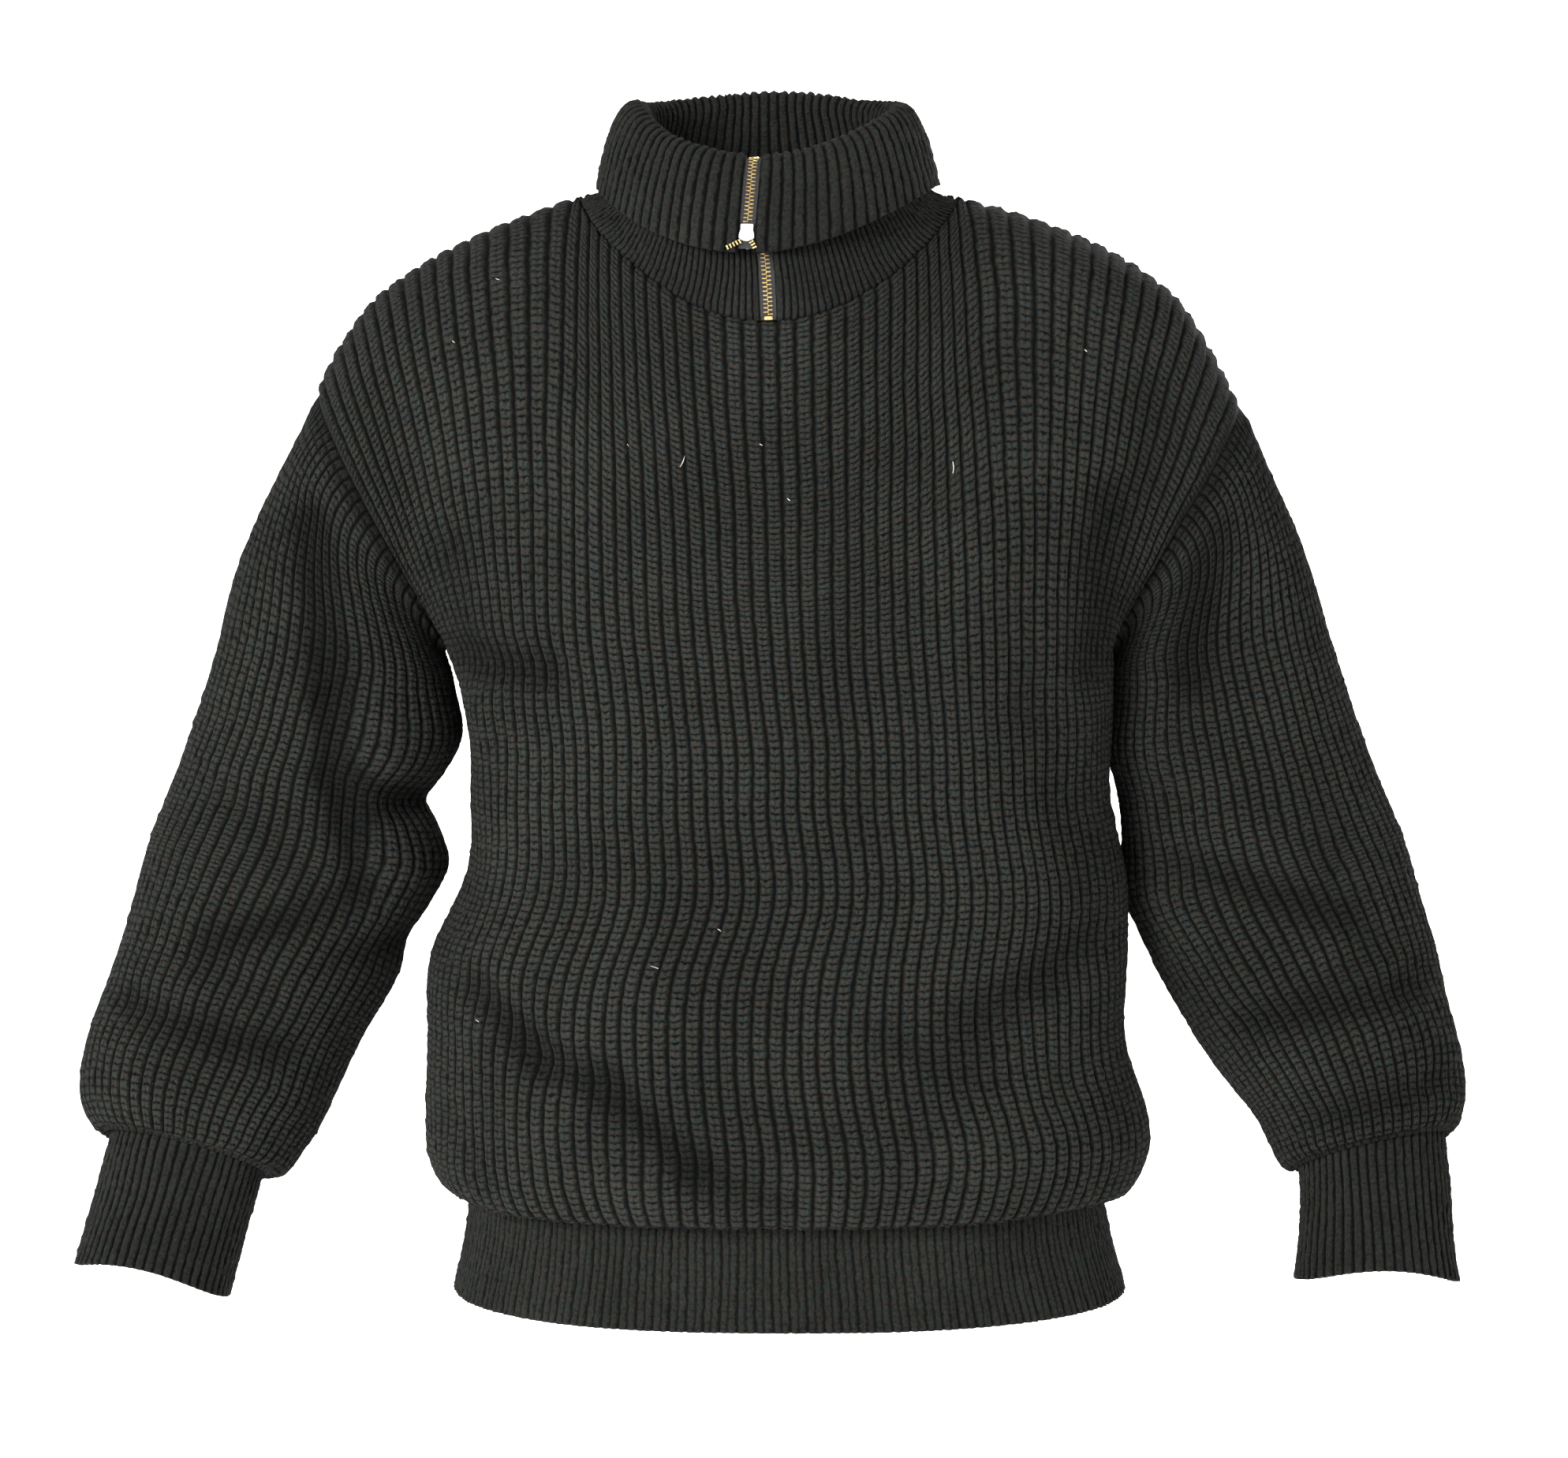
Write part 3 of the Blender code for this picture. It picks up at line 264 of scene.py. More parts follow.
# Where the slack of a sleeve hangs out (above zero) or pinches in beside the body
LOBES = table(
    "side height rise width",
    (-1, -0.322, 0.0130, 0.027),
    (-1, -0.364, -0.0060, 0.010),
    (-1, -0.402, 0.0095, 0.020),
    (-1, -0.450, -0.0050, 0.014),
    (1, -0.330, 0.0060, 0.024),
    (1, -0.420, 0.0050, 0.022),
)

# The folded collar, middle of its wall: up the stand, over the fold and down the flap.
# Turn is how far the front opening has wandered round the neck, in degrees, and round is
# 1 for an oval seen from above and more where front and back are narrower.
COLLAR = table(
    "half_width front back front_height side_height back_height turn round",
    (0.1150, 0.1040, 0.0770, -0.0740, 0.0010, 0.0155, 0.0, 1.40),
    (0.1050, 0.1015, 0.0745, -0.0610, 0.0020, 0.0200, -0.3, 1.25),
    (0.0945, 0.0980, 0.0715, -0.0420, 0.0070, 0.0280, -1.0, 1.10),
    (0.0845, 0.0900, 0.0680, -0.0200, 0.0190, 0.0420, -2.5, 1.00),
    (0.0785, 0.0830, 0.0660, -0.0010, 0.0340, 0.0560, -4.0, 0.95),
    (0.0755, 0.0785, 0.0655, 0.0130, 0.0490, 0.0640, -5.0, 0.95),
    (0.0790, 0.0810, 0.0705, 0.0205, 0.0575, 0.0690, -5.8, 0.95),
    (0.0860, 0.0890, 0.0770, 0.0165, 0.0535, 0.0650, -6.0, 0.95),
    (0.0925, 0.0985, 0.0830, 0.0000, 0.0400, 0.0530, -6.2, 0.95),
    (0.0970, 0.1060, 0.0880, -0.0170, 0.0240, 0.0400, -6.5, 0.95),
    (0.1005, 0.1105, 0.0915, -0.0345, 0.0095, 0.0290, -6.8, 0.95),
)
COLLAR_WALL = 0.0034
OPENING_HALF = 0.0048

# Zip
CHAIN_START = 0.25
CHAIN_END = 9.10
BACKING_END = 9.85
STOP_STATION = 0.14
TOOTH_STEP = 0.0025
TOOTH_REACH = 0.0028
TOOTH_OVERLAP = 0.0003
TOOTH_HALF_WIDTH = 0.00052
TOOTH_HALF_THICKNESS = 0.0011
SLIDER_STATION = 9.35
SLIDER_LENGTH = 0.0104
SLIDER_TOP_WIDTH = 0.0076
SLIDER_WIDTH = 0.0092
SLIDER_THICKNESS = 0.0044
BRIDGE_WIDTH = 0.0016
BRIDGE_HALF_LENGTH = 0.0019
BRIDGE_TOP = 0.00255
PIVOT_HEIGHT = 0.0012
PULL_THICKNESS = 0.0009
PULL_HALF_WIDTH = 0.0021
PULL_EYE_HALF_WIDTH = 0.0012
PULL_BAR = 0.00045
PULL_EYE_END = 0.0026
PULL_LENGTH = 0.0083
OPEN_TEETH_OUT = 0.0036

# Unevenness of the knit, the rise of the collar stand's ribs, and painted shade along seams and in
# folds
YARN_JITTER = 0.0003
SOFT_RISE = 0.0011
STAND_RIB_RISE = 0.0014
# Painted shade along the armhole seams: a fold depth in metres that only the shading reads; the
# cloth is not moved
SEAM_SHADE = 0.008
# Painted shade: how dark the wool is painted at the bottom of the deepest fold troughs
FOLD_SHADE = 0.42
RIB_SWAY = 0.0005
RIB_UNEVENNESS = 0.16

# Grain of the wool: spots a metre, and the tints that its flecks run between
GRAINS = {"patch": 14.0, "drift": 70.0, "wander": 230.0, "cool": 310.0, "warm": 430.0,
          "fluff": 480.0, "ply": 1300.0, "hairs": 1700.0}
WARM_FLECKS = ((0.86, 1.01, 1.04), (1.14, 1.0, 0.84))
COOL_FLECKS = ((1.06, 0.98, 0.98), (0.88, 1.06, 1.04))
LOOP_HEIGHT = 0.0017

# The open ends of the teeth in the slider's frame, X and Z of a few points each
OPEN_ROUTES = {
    -1: ((-0.0030, -0.0056), (-0.0064, -0.0078), (-0.0105, -0.0100)),
    1: ((0.0030, -0.0056), (0.0048, -0.0082), (0.0060, -0.0106)),
}

# Stage: a round floor that curves up to a wall, and the light that fills the room
STAGE_CURVE = 1.2
STAGE_WALL = 5.5
STAGE_SIDES = 32
CURVE_STEPS = 5
ROOM_LIGHT = 0.45

# Photograph, its camera, and the lint on the wool by its pixels
PHOTO_WIDTH = 1988
PHOTO_HEIGHT = 1849
PIXELS_PER_METRE = 2071
CAMERA_AT = (0.009, -2.4, -0.137)
CAMERA_AIM = (0.009, 0.0, -0.320)
CAMERA_REACH = math.dist(CAMERA_AT, CAMERA_AIM)
FOCAL_PIXELS = PIXELS_PER_METRE * CAMERA_REACH
SENSOR_WIDTH = 36.0
LINT = table(
    "across down run drop bend thick",
    (868, 578, -6, 14, 1, 0.00028),
    (1208, 585, 0, 15, 1, 0.00026),
    (1375, 443, 3, 3, 0, 0.00030),
    (963, 563, 4, 2, 0, 0.00026),
    (998, 632, 4, 3, 0, 0.00026),
    (628, 353, 5, 2, 0, 0.00022),
    (573, 432, 4, 3, 0, 0.00022),
    (795, 563, 2, 5, 1, 0.00022),
    (825, 1225, 8, 3, 5, 0.00018),
    (910, 1178, 4, 3, 0, 0.00024),
    (603, 1293, 4, 3, 0, 0.00024),
)


class SweaterLooks(bpy.types.PropertyGroup):
    """Sizes and colours of the wool, the knit and the zip."""

    stitch: bpy.props.FloatProperty(
        name="Stitch Height", description="Height of one large loop of the body",
        default=0.0042, min=0.003, max=0.01, unit="LENGTH")
    fine_stitch: bpy.props.FloatProperty(
        name="Ribbing Stitch", description="Height of one loop of the hem, cuffs and collar",
        default=0.0033, min=0.002, max=0.01, unit="LENGTH")
    rib_rise: bpy.props.FloatProperty(
        name="Rib Rise", description="How far the ribs of the body stand up from their grooves",
        default=0.0022, min=0.0, max=0.005, unit="LENGTH")
    ribbing_rise: bpy.props.FloatProperty(
        name="Ribbing Rise", description="How far the ribs of the hem, cuffs and collar stand up",
        default=0.0016, min=0.0, max=0.004, unit="LENGTH")
    wool: bpy.props.FloatVectorProperty(
        name="Wool", description="Colour of the yarn on top of a loop",
        default=(0.0160, 0.0160, 0.0151), size=3, min=0.0, max=1.0, subtype="COLOR")
    # Painted shade: the near-black colour the wool is painted where shade falls, between the loops,
    # in the grooves between the ribs and in the folds
    gap: bpy.props.FloatVectorProperty(
        name="Gaps", description="Colour between the loops and in the grooves",
        default=(0.0008, 0.0008, 0.0008), size=3, min=0.0, max=1.0, subtype="COLOR")
    brass: bpy.props.FloatVectorProperty(
        name="Brass", description="Colour of the zip's teeth",
        default=(0.62, 0.45, 0.20), size=3, min=0.0, max=1.0, subtype="COLOR")
    nickel: bpy.props.FloatVectorProperty(
        name="Nickel", description="Colour of the slider and its pull",
        default=(0.60, 0.59, 0.56), size=3, min=0.0, max=1.0, subtype="COLOR")
    tape: bpy.props.FloatVectorProperty(
        name="Zip Tape", description="Colour of the woven tape under the teeth",
        default=(0.0050, 0.0050, 0.0052), size=3, min=0.0, max=1.0, subtype="COLOR")
    lint: bpy.props.FloatVectorProperty(
        name="Lint", description="Colour of the pale straws and specks caught in the wool",
        default=(0.62, 0.60, 0.55), size=3, min=0.0, max=1.0, subtype="COLOR")


class StudioLooks(bpy.types.PropertyGroup):
    """Sizes, colours and lights of the stage."""

    floor_height: bpy.props.FloatProperty(
        name="Floor Height", description="Height of the pale floor below the sweater",
        default=-1.25, min=-3.0, max=-0.7, unit="LENGTH")
    radius: bpy.props.FloatProperty(
        name="Stage Radius", description="How far the floor reaches before it curves up",
        default=4.2, min=3.5, max=10.0, unit="LENGTH")
    paper: bpy.props.FloatVectorProperty(
        name="Paper", description="Colour of the floor and the wall around it",
        default=(0.86, 0.86, 0.85), size=3, min=0.0, max=1.0, subtype="COLOR")
    glow: bpy.props.FloatProperty(
        name="Glow", description="How far the paper is lit from behind",
        default=0.85, min=0.0, max=3.0)
    key_power: bpy.props.FloatProperty(
        name="Main Light", description="Power of the soft light at the upper left",
        default=150.0, min=0.0, max=500.0, unit="POWER")
    fill_power: bpy.props.FloatProperty(
        name="Side Light", description="Power of the weak light at the right",
        default=5.0, min=0.0, max=500.0, unit="POWER")
    back_power: bpy.props.FloatProperty(
        name="Back Light", description="Power of the light on the back",
        default=90.0, min=0.0, max=500.0, unit="POWER")


def read_rows(rows, places):
    """Rows of a table at broken places, on a smooth curve through the table's rows."""
    places = np.asarray(places, float)
    last = len(next(iter(rows.values()))) - 1
    start = np.clip(np.floor(places), 0, last - 1).astype(int)
    part = places - start
    found = {}
    for name, values in rows.items():
        here, after = values[start], values[start + 1]
        before = values[np.maximum(start - 1, 0)]
        beyond = values[np.minimum(start + 2, last)]
        slopes = 0.5 * (after - before), 0.5 * (beyond - here)
        found[name] = hermite(here, slopes[0], after, slopes[1], part)
    return found


def hermite(start, slope_start, end, slope_end, part):
    """A smooth curve from start to end with the given slopes."""
    square, cube = part * part, part * part * part
    return ((2 * cube - 3 * square + 1) * start + (cube - 2 * square + part) * slope_start
            + (3 * square - 2 * cube) * end + (cube - square) * slope_end)


def smooth_step(value, low, high):
    part = np.clip((value - low) / (high - low), 0.0, 1.0)
    return part * part * (3.0 - 2.0 * part)


def unit(vectors):
    length = np.linalg.norm(vectors, axis=-1, keepdims=True)
    return vectors / np.maximum(length, 1e-9)


def unevenness(points, size, seed):
    """Slow ups and downs from about -1 to 1 over the cloth, size metres from one to the next."""
    dice = np.random.default_rng(seed)
    total = np.zeros(points.shape[:-1])
    for _ in range(6):
        direction = unit(dice.normal(size=3)) * dice.uniform(0.6, 1.5) * 2 * math.pi / size
        total += np.sin(points @ direction + dice.uniform(0, 2 * math.pi))
    return total / 3.0


def even_places(line_at, low, high, row_height):
    """Places from low to high whose lines lie even lengths of cloth apart."""
    tries = np.linspace(low, high, 121)
    lines = np.array([line_at(place) for place in tries])
    steps = np.linalg.norm(np.diff(lines, axis=0), axis=2).mean(axis=1)
    length = np.concatenate([[0.0], np.cumsum(steps)])
    rows = round(length[-1] / row_height)
    return np.interp(np.linspace(0.0, length[-1], rows + 1), length, tries)


def section(rows, place, share, face):
    """Points along the front or back half of a body section, at even steps of cloth."""
    row = read_rows(rows, place)
    depth = row["front"] if face == FRONT else row["back"]
    angle = np.linspace(-math.pi / 2, math.pi / 2, 361)
    across = np.sign(np.sin(angle)) * np.abs(np.sin(angle)) ** (2 / SQUARENESS) * row["half_width"]
    deep = np.abs(np.cos(angle)) ** (2 / SQUARENESS) * depth
    length = np.concatenate([[0.0], np.cumsum(np.hypot(np.diff(across), np.diff(deep)))])
    even = 2.0 * length / length[-1] - 1.0
    x = row["centre"] + np.interp(share, even, across)
    y = face * (np.interp(share, even, deep) + SEAM_GAP / 2)
    return np.stack([x, y, np.full_like(x, row["height"])], axis=-1)


def neckline(angle, face):
    """The neck seam; angle runs from -90 degrees at the right side to 90 at the left."""
    cosine = np.abs(np.cos(angle))
    depth = NECK_FRONT if face == FRONT else NECK_BACK
    height = NECK_FRONT_HEIGHT if face == FRONT else NECK_BACK_HEIGHT
    roundness = NECK_ROUND_FRONT if face == FRONT else NECK_ROUND_BACK
    x = NECK_HALF_WIDTH * np.sin(angle)
    y = face * (depth * cosine ** roundness + SEAM_GAP / 2)
    z = NECK_SIDE_HEIGHT + (height - NECK_SIDE_HEIGHT) * cosine ** NECK_DIP
    return np.stack([x, y, z], axis=-1)


def neck_angle(part, face):
    """Angle on the neck seam at an even part of its length, from -1 at the right to 1."""
    angle = np.linspace(-math.pi / 2, math.pi / 2, 181)
    steps = np.linalg.norm(np.diff(neckline(angle, face), axis=0), axis=1)
    length = np.concatenate([[0.0], np.cumsum(steps)])
    return np.interp(part, 2.0 * length / length[-1] - 1.0, angle)


def shoulder(side, part):
    """Points of a shoulder seam, from the neck (0) to the armhole (1)."""
    rows = SHOULDER_LEFT if side > 0 else SHOULDER_RIGHT
    row = read_rows(rows, np.asarray(part) * (len(rows["out"]) - 1))
    return np.stack([side * row["out"], 0.0 * row["out"], row["height"]], axis=-1)


def shoulder_normal(side, part):
    """Outward directions on a shoulder seam, with no lean to front or back."""
    step = 0.02
    part = np.asarray(part, float)
    along = (shoulder(side, np.minimum(part + step, 1.0))
             - shoulder(side, np.maximum(part - step, 0.0)))
    flat = np.zeros_like(part)
    return unit(np.stack([-side * along[..., 2], flat, np.abs(along[..., 0])], axis=-1))


def top_edge(share, face):
    """Where each rib of a panel ends: at the neckline, or at the shoulder seam."""
    inside = np.clip(share / NECK_SHARE, -1.0, 1.0)
    points = neckline(neck_angle(inside, face), face)
    part = (np.abs(share) - NECK_SHARE) / (1.0 - NECK_SHARE)
    for side in (-1, 1):
        on_seam = (np.abs(share) > NECK_SHARE) & (np.sign(share) == side)
        points[on_seam] = shoulder(side, part[on_seam])
        points[on_seam, 1] = face * SEAM_GAP / 2
    return points


def panel_line(face, share, level):
    """A line across a panel: level 0 is the hem seam, UNDERARM the underarm, one more the top."""
    share = np.clip(share, -1.0, 1.0)
    if level <= UNDERARM:
        return section(BODY, max(level, 0.0), share, face)
    part = min(level - UNDERARM, 1.0)
    side = np.sign(share)
    slope = read_rows(YOKE, np.abs(share) * (len(YOKE["up_start"]) - 1))
    leave = np.stack([side * slope["out_start"], face * slope["fore_start"], slope["up_start"]], -1)
    meet = np.stack([0.0 * side, -face * slope["back_end"], slope["up_end"]], -1)
    start = section(BODY, UNDERARM, share, face)
    return hermite(start, leave, top_edge(share, face), meet, part)


def armhole_frame(side):
    """Middle of an armhole, its outward axis and its lowest point."""
    low = panel_line(FRONT, np.array([side * 1.0]), UNDERARM)[0]
    high = shoulder(side, 1.0)
    low[1] = 0.0
    axis = unit(np.cross(high - low, [0.0, -side, 0.0]))
    return (low + high) / 2, axis, low


def armhole_normal(side, points):
    """Outward direction of the wall where a panel and a sleeve meet."""
    middle, axis, low = armhole_frame(side)
    radial = points - middle
    radial = unit(radial - (radial @ axis)[..., None] * axis)
    cosine = radial @ unit(low - middle)
    lean = 0.35 + 0.25 * cosine + 0.75 * cosine ** 2
    return unit(radial + lean[..., None] * axis)


def neck_normal(part, side, face):
    """Outward directions on the neck seam, from its middle (0) to the shoulder (1)."""
    lean = unit(np.array([0.0, face * 0.93, 0.37]))
    toward_side = (np.sin(np.asarray(part) * math.pi / 2) ** 2)[..., None]
    return unit(lean * (1 - toward_side) + shoulder_normal(side, 0.0) * toward_side)


def top_normals(share, face):
    """Outward directions along the neckline and the shoulder seams."""
    found = np.zeros((len(share), 3))
    part = np.maximum(np.abs(share) - NECK_SHARE, 0.0) / (1.0 - NECK_SHARE)
    angle = np.abs(neck_angle(np.clip(share / NECK_SHARE, -1.0, 1.0), face)) / (math.pi / 2)
    for side in (-1, 1):
        here = (share < 0) == (side < 0)
        by_neck = here & (np.abs(share) < NECK_SHARE)
        by_shoulder = here & ~by_neck
        found[by_neck] = neck_normal(angle[by_neck], side, face)
        found[by_shoulder] = shoulder_normal(side, part[by_shoulder])
    return found


def fold_rise(points, normals):
    """How far the folds lift or sink the cloth at each point."""
    rise = np.zeros(points.shape[:-1])
    flat = points[..., [0, 2]]
    for folds in (FOLDS, CREASES):
        for place in range(len(folds["face"])):
            start = np.array([folds["x_start"][place], folds["z_start"][place]])
            along = np.array([folds["x_end"][place], folds["z_end"][place]]) - start
            part = np.clip(((flat - start) @ along) / (along @ along), 0.0, 1.0)
            distance = np.linalg.norm(flat - start - part[..., None] * along, axis=-1)
            facing = smooth_step(normals[..., 1] * folds["face"][place], 0.05, 0.55)
            rise += folds["rise"][place] * facing * np.exp(-(distance / folds["width"][place]) ** 2)
    return rise


def panel_surface(face, share, levels):
    """Base points, outward directions and folds of a panel, row by row."""
    step = 0.004
    points, normals = [], []
    edge = smooth_step(np.abs(share), 0.86, 1.0)[:, None]
    side = np.sign(share)[:, None]
    at_neck = neck_spread(share, face)
    for level in levels:
        spread = share + (at_neck - share) * smooth_step(level, UNDERARM, UNDERARM + 1)
        base = panel_line(face, spread, level)
        across = panel_line(face, spread + step, level) - panel_line(face, spread - step, level)
        up = panel_line(face, spread, level + step) - panel_line(face, spread, level - step)
        normal = unit(np.cross(across, up)) * -face
        if level < UNDERARM:
            seam = np.concatenate([side, np.zeros_like(side), np.zeros_like(side)], axis=-1)
            seam = unit(seam + normal * [0, 0, 1])
            seam[:, 1] = 0.0
        else:
            seam = np.where(side > 0, armhole_normal(1, base), armhole_normal(-1, base))
        if level >= UNDERARM + 1:
            normal = top_normals(spread, face)
        if level <= 0:
            normal = seam = np.tile([0.0, 0.0, -1.0], (len(share), 1))
        normals.append(unit(normal * (1 - edge) + seam * edge))
        points.append(base)
    points, normals = np.array(points), np.array(normals)
    levels = np.asarray(levels)
    above = levels - UNDERARM
    free = smooth_step(above, -1.0, 0.2) * smooth_step(1 - above, 0.0, 0.16)
    points = smoothed_across(points, free)
    normals = unit(smoothed_across(normals, free))
    near = smooth_step(above, -2.0, -0.6) * smooth_step(0.7 - above, 0.0, 0.4)
    near = near[:, None] * smooth_step(1 - np.abs(share), 0.0, 0.15)
    points = smoothed_along(points, near)
    normals = unit(smoothed_along(normals, near))
    fade = smooth_step(levels, 0.0, 1.5)[:, None]
    return points, normals, fold_rise(points, normals) * fade


def neck_spread(share, face):
    """Shares that end the ribs at the neckline nearly as far apart as below, seen from the front."""
    angle = np.linspace(-math.pi / 2, math.pi / 2, 181)
    steps = np.linalg.norm(np.diff(neckline(angle, face), axis=0), axis=1)
    length = np.concatenate([[0.0], np.cumsum(steps)])
    wanted = np.arcsin(np.clip(share / NECK_SHARE, -1.0, 1.0))
    even = NECK_SHARE * np.interp(wanted, angle, 2.0 * length / length[-1] - 1.0)
    even = np.where(np.abs(share) < NECK_SHARE, even, share)
    return share + NECK_SPREAD * (even - share)


def smoothed_along(values, free):
    """Points or directions evened out along the ribs, as far as each of them is free."""
    even = values.copy()
    for _ in range(UNDERARM_SMOOTHING):
        even[1:-1] = (even[:-2] + 2 * even[1:-1] + even[2:]) / 4
    return values + (even - values) * free[..., None]


def smoothed_across(values, free):
    """Rows of points or directions evened out across the cloth, as far as each row is free."""
    even = values.copy()
    for _ in range(NECK_SMOOTHING):
        even[:, 1:-1] = (even[:, :-2] + 2 * even[:, 1:-1] + even[:, 2:]) / 4
    return values + (even - values) * free[:, None, None]


def armhole_edge(side):
    """The armhole, from the underarm up the front, over the top and down the back."""
    count = SLEEVE_RIBS * COLUMNS // 2
    levels = UNDERARM + np.arange(count + 1) / count
    share = np.array([side * 1.0])
    lines = {}
    for face in (FRONT, BACK):
        points, normals, rise = panel_surface(face, share, levels)
        lines[face] = (points + rise[..., None] * normals)[:, 0], normals[:, 0]
    points = np.concatenate([lines[FRONT][0], lines[BACK][0][-2:0:-1]])
    normals = np.concatenate([lines[FRONT][1], lines[BACK][1][-2:0:-1]])
    points[0, 1] = points[count, 1] = 0.0
    return points, normals


def ring(rows, place, turn, side):
    """An oval section across a sleeve or cuff; turn 0 faces the body and 0.25 the front."""
    row = read_rows(rows, place)
    last = len(rows["out"]) - 1
    step = 0.05
    ahead = centre_of(read_rows(rows, min(place + step, last)), side)
    behind = centre_of(read_rows(rows, max(place - step, 0)), side)
    down = unit(ahead - behind)
    if last > 3:
        steady = (centre_of(read_rows(rows, last - 1), side)
                  - centre_of(read_rows(rows, last - 3), side))
        near_cuff = smooth_step(place, last - 3.0, last - 1.5)
        down = unit(down * (1 - near_cuff) + unit(steady) * near_cuff)
    inward = np.array([-side, 0.0, 0.0])
    inward = unit(inward - (inward @ down) * down)
    fore = np.cross(down, inward) * side
    fore = fore if fore[1] < 0 else -fore
    angle = np.asarray(turn) * 2 * math.pi
    reach = (np.cos(angle)[:, None] * inward * row["side"]
             + np.sin(angle)[:, None] * fore * row["depth"])
    return centre_of(row, side) + reach, unit(reach), down


def centre_of(row, side):
    return np.array([side * row["out"], row["y"], row["height"]])


def sleeve_line(side, rows, edge, turn, station):
    """A line round a sleeve: station 0 is the armhole, 1 the first section."""
    if station >= 1:
        return ring(rows, station - 1, turn, side)[0]
    points, directions = edge
    end, _, down = ring(rows, 0, turn, side)
    chord = np.linalg.norm(end - points, axis=-1, keepdims=True)
    return hermite(points, directions * chord, end, down * chord, station)


def sleeve_edge(side):
    """The sleeve's own edge beside the armhole, and how its ribs leave it."""
    points, normals = armhole_edge(side)
    turn = np.arange(len(points)) / len(points)
    tangent = unit(np.roll(points, -1, axis=0) - np.roll(points, 1, axis=0))
    away = unit(np.cross(tangent, normals))
    away *= np.sign(np.median(away @ armhole_frame(side)[1]))
    under = (0.5 + 0.5 * np.cos(turn * 2 * math.pi))[:, None] ** 1.5
    leave = unit(away * (1 - under) + np.array([side * 0.80, 0.0, -0.60]) * under)
    for _ in range(LEAVE_SMOOTHING):
        leave = unit(np.roll(leave, 1, axis=0) + 2 * leave + np.roll(leave, -1, axis=0))
    return points + away * SEAM_GAP, leave, normals, turn


def sleeve_surface(side, rows, row_height):
    """Base points, outward directions and folds of a sleeve, ring by ring."""
    first, leave, edge_normals, turn = sleeve_edge(side)
    edge = first, leave
    last = len(rows["out"])
    stations = even_places(
        lambda station: sleeve_line(side, rows, edge, turn, station), 0.0, last, row_height)
    points, normals = [], []
    step = 0.02
    for station in stations:
        base = sleeve_line(side, rows, edge, turn, station)
        above = sleeve_line(side, rows, edge, turn, max(station - step, 0.0))
        below = sleeve_line(side, rows, edge, turn, min(station + step, last))
        around = np.roll(base, -1, axis=0) - np.roll(base, 1, axis=0)
        normal = unit(np.cross(around, below - above))
        normal *= np.sign(np.median(np.sum(normal * (base - base.mean(axis=0)), axis=-1)))
        by_seam = 1 - smooth_step(station, 0.0, 0.12)
        normal = unit(normal * (1 - by_seam) + edge_normals * by_seam)
        tucked = smooth_step(station, last - 0.35, last)
        down = ring(rows, last - 1, turn, side)[2]
        points.append(base)
        normals.append(unit(normal * (1 - tucked) + down * tucked))
    points, normals = np.array(points), np.array(normals)
    fade = (smooth_step(stations, 0.04, 0.4) * smooth_step(last - stations, 0.0, 1.2))[:, None]
    return points, normals, (fold_rise(points, normals) + lobe_rise(points, normals, side)) * fade


def lobe_rise(points, normals, side):
    """How far a sleeve's slack hangs out or pinches in on the side that faces the body."""
    rise = np.zeros(points.shape[:-1])
    toward_body = -side * normals[..., 0] - 0.4 * np.maximum(normals[..., 1], 0.0)
    inward = smooth_step(toward_body, 0.2, 0.95)
    for place in np.flatnonzero(LOBES["side"] == side):
        off = (points[..., 2] - LOBES["height"][place]) / LOBES["width"][place]
        rise += LOBES["rise"][place] * inward * np.exp(-off ** 2)
    return rise


def knit_up(points, normals, folds, rib, rise, seed, fade=1.0):
    """Lift the base into ribs and loops, with the unevenness of hand-washed wool."""
    wide = points.shape[1]
    column = np.arange(wide) % COLUMNS
    across = unit(np.roll(points, -1, axis=1) - np.roll(points, 1, axis=1))
    dice = np.random.default_rng(seed)
    height = np.array(rib)[column] * rise * (1 + RIB_UNEVENNESS * unevenness(points, 0.05, seed))
    lift = height + dice.normal(scale=YARN_JITTER, size=height.shape)
    lift = lift + SOFT_RISE * unevenness(points, 0.11, seed + 1)
    sway = RIB_SWAY * (unevenness(points, 0.045, seed + 2) + unevenness(points, 0.12, seed + 3))
    lifted = points + (folds + lift * fade)[..., None] * normals
    return lifted + (sway * fade)[..., None] * across


def plain_inside(points, normals, folds, strip, closed):
    """The inner side of a wall, in wider strips, which passes under every trough beside it."""
    deepest = folds.copy()
    for shift in range(1, strip + 1):
        for sign in (-1, 1):
            moved = np.roll(folds, sign * shift, axis=1)
            if not closed:
                moved[:, :shift] = folds[:, :shift]
                moved[:, -shift:] = folds[:, -shift:]
            deepest = np.minimum(deepest, moved)
    lift = np.minimum(deepest, 0.0) - WALL
    return (points + lift[..., None] * normals)[:, ::strip]


def grid_faces(rows, columns, closed, start):
    """Corners of the faces of a grid, and the place of each corner across and up it."""
    across = np.arange(columns if closed else columns - 1)
    row, column = np.meshgrid(np.arange(rows - 1), across, indexing="ij")
    after = (column + 1) % columns
    corners = [row * columns + column, row * columns + after,
               (row + 1) * columns + after, (row + 1) * columns + column]
    places = [(column, row), (column + 1, row), (column + 1, row + 1), (column, row + 1)]
    corners = np.stack(corners, axis=-1).reshape(-1, 4) + start
    places = np.stack([np.stack(pair, axis=-1) for pair in places], axis=2).reshape(-1, 4, 2)
    return corners, places.astype(float)


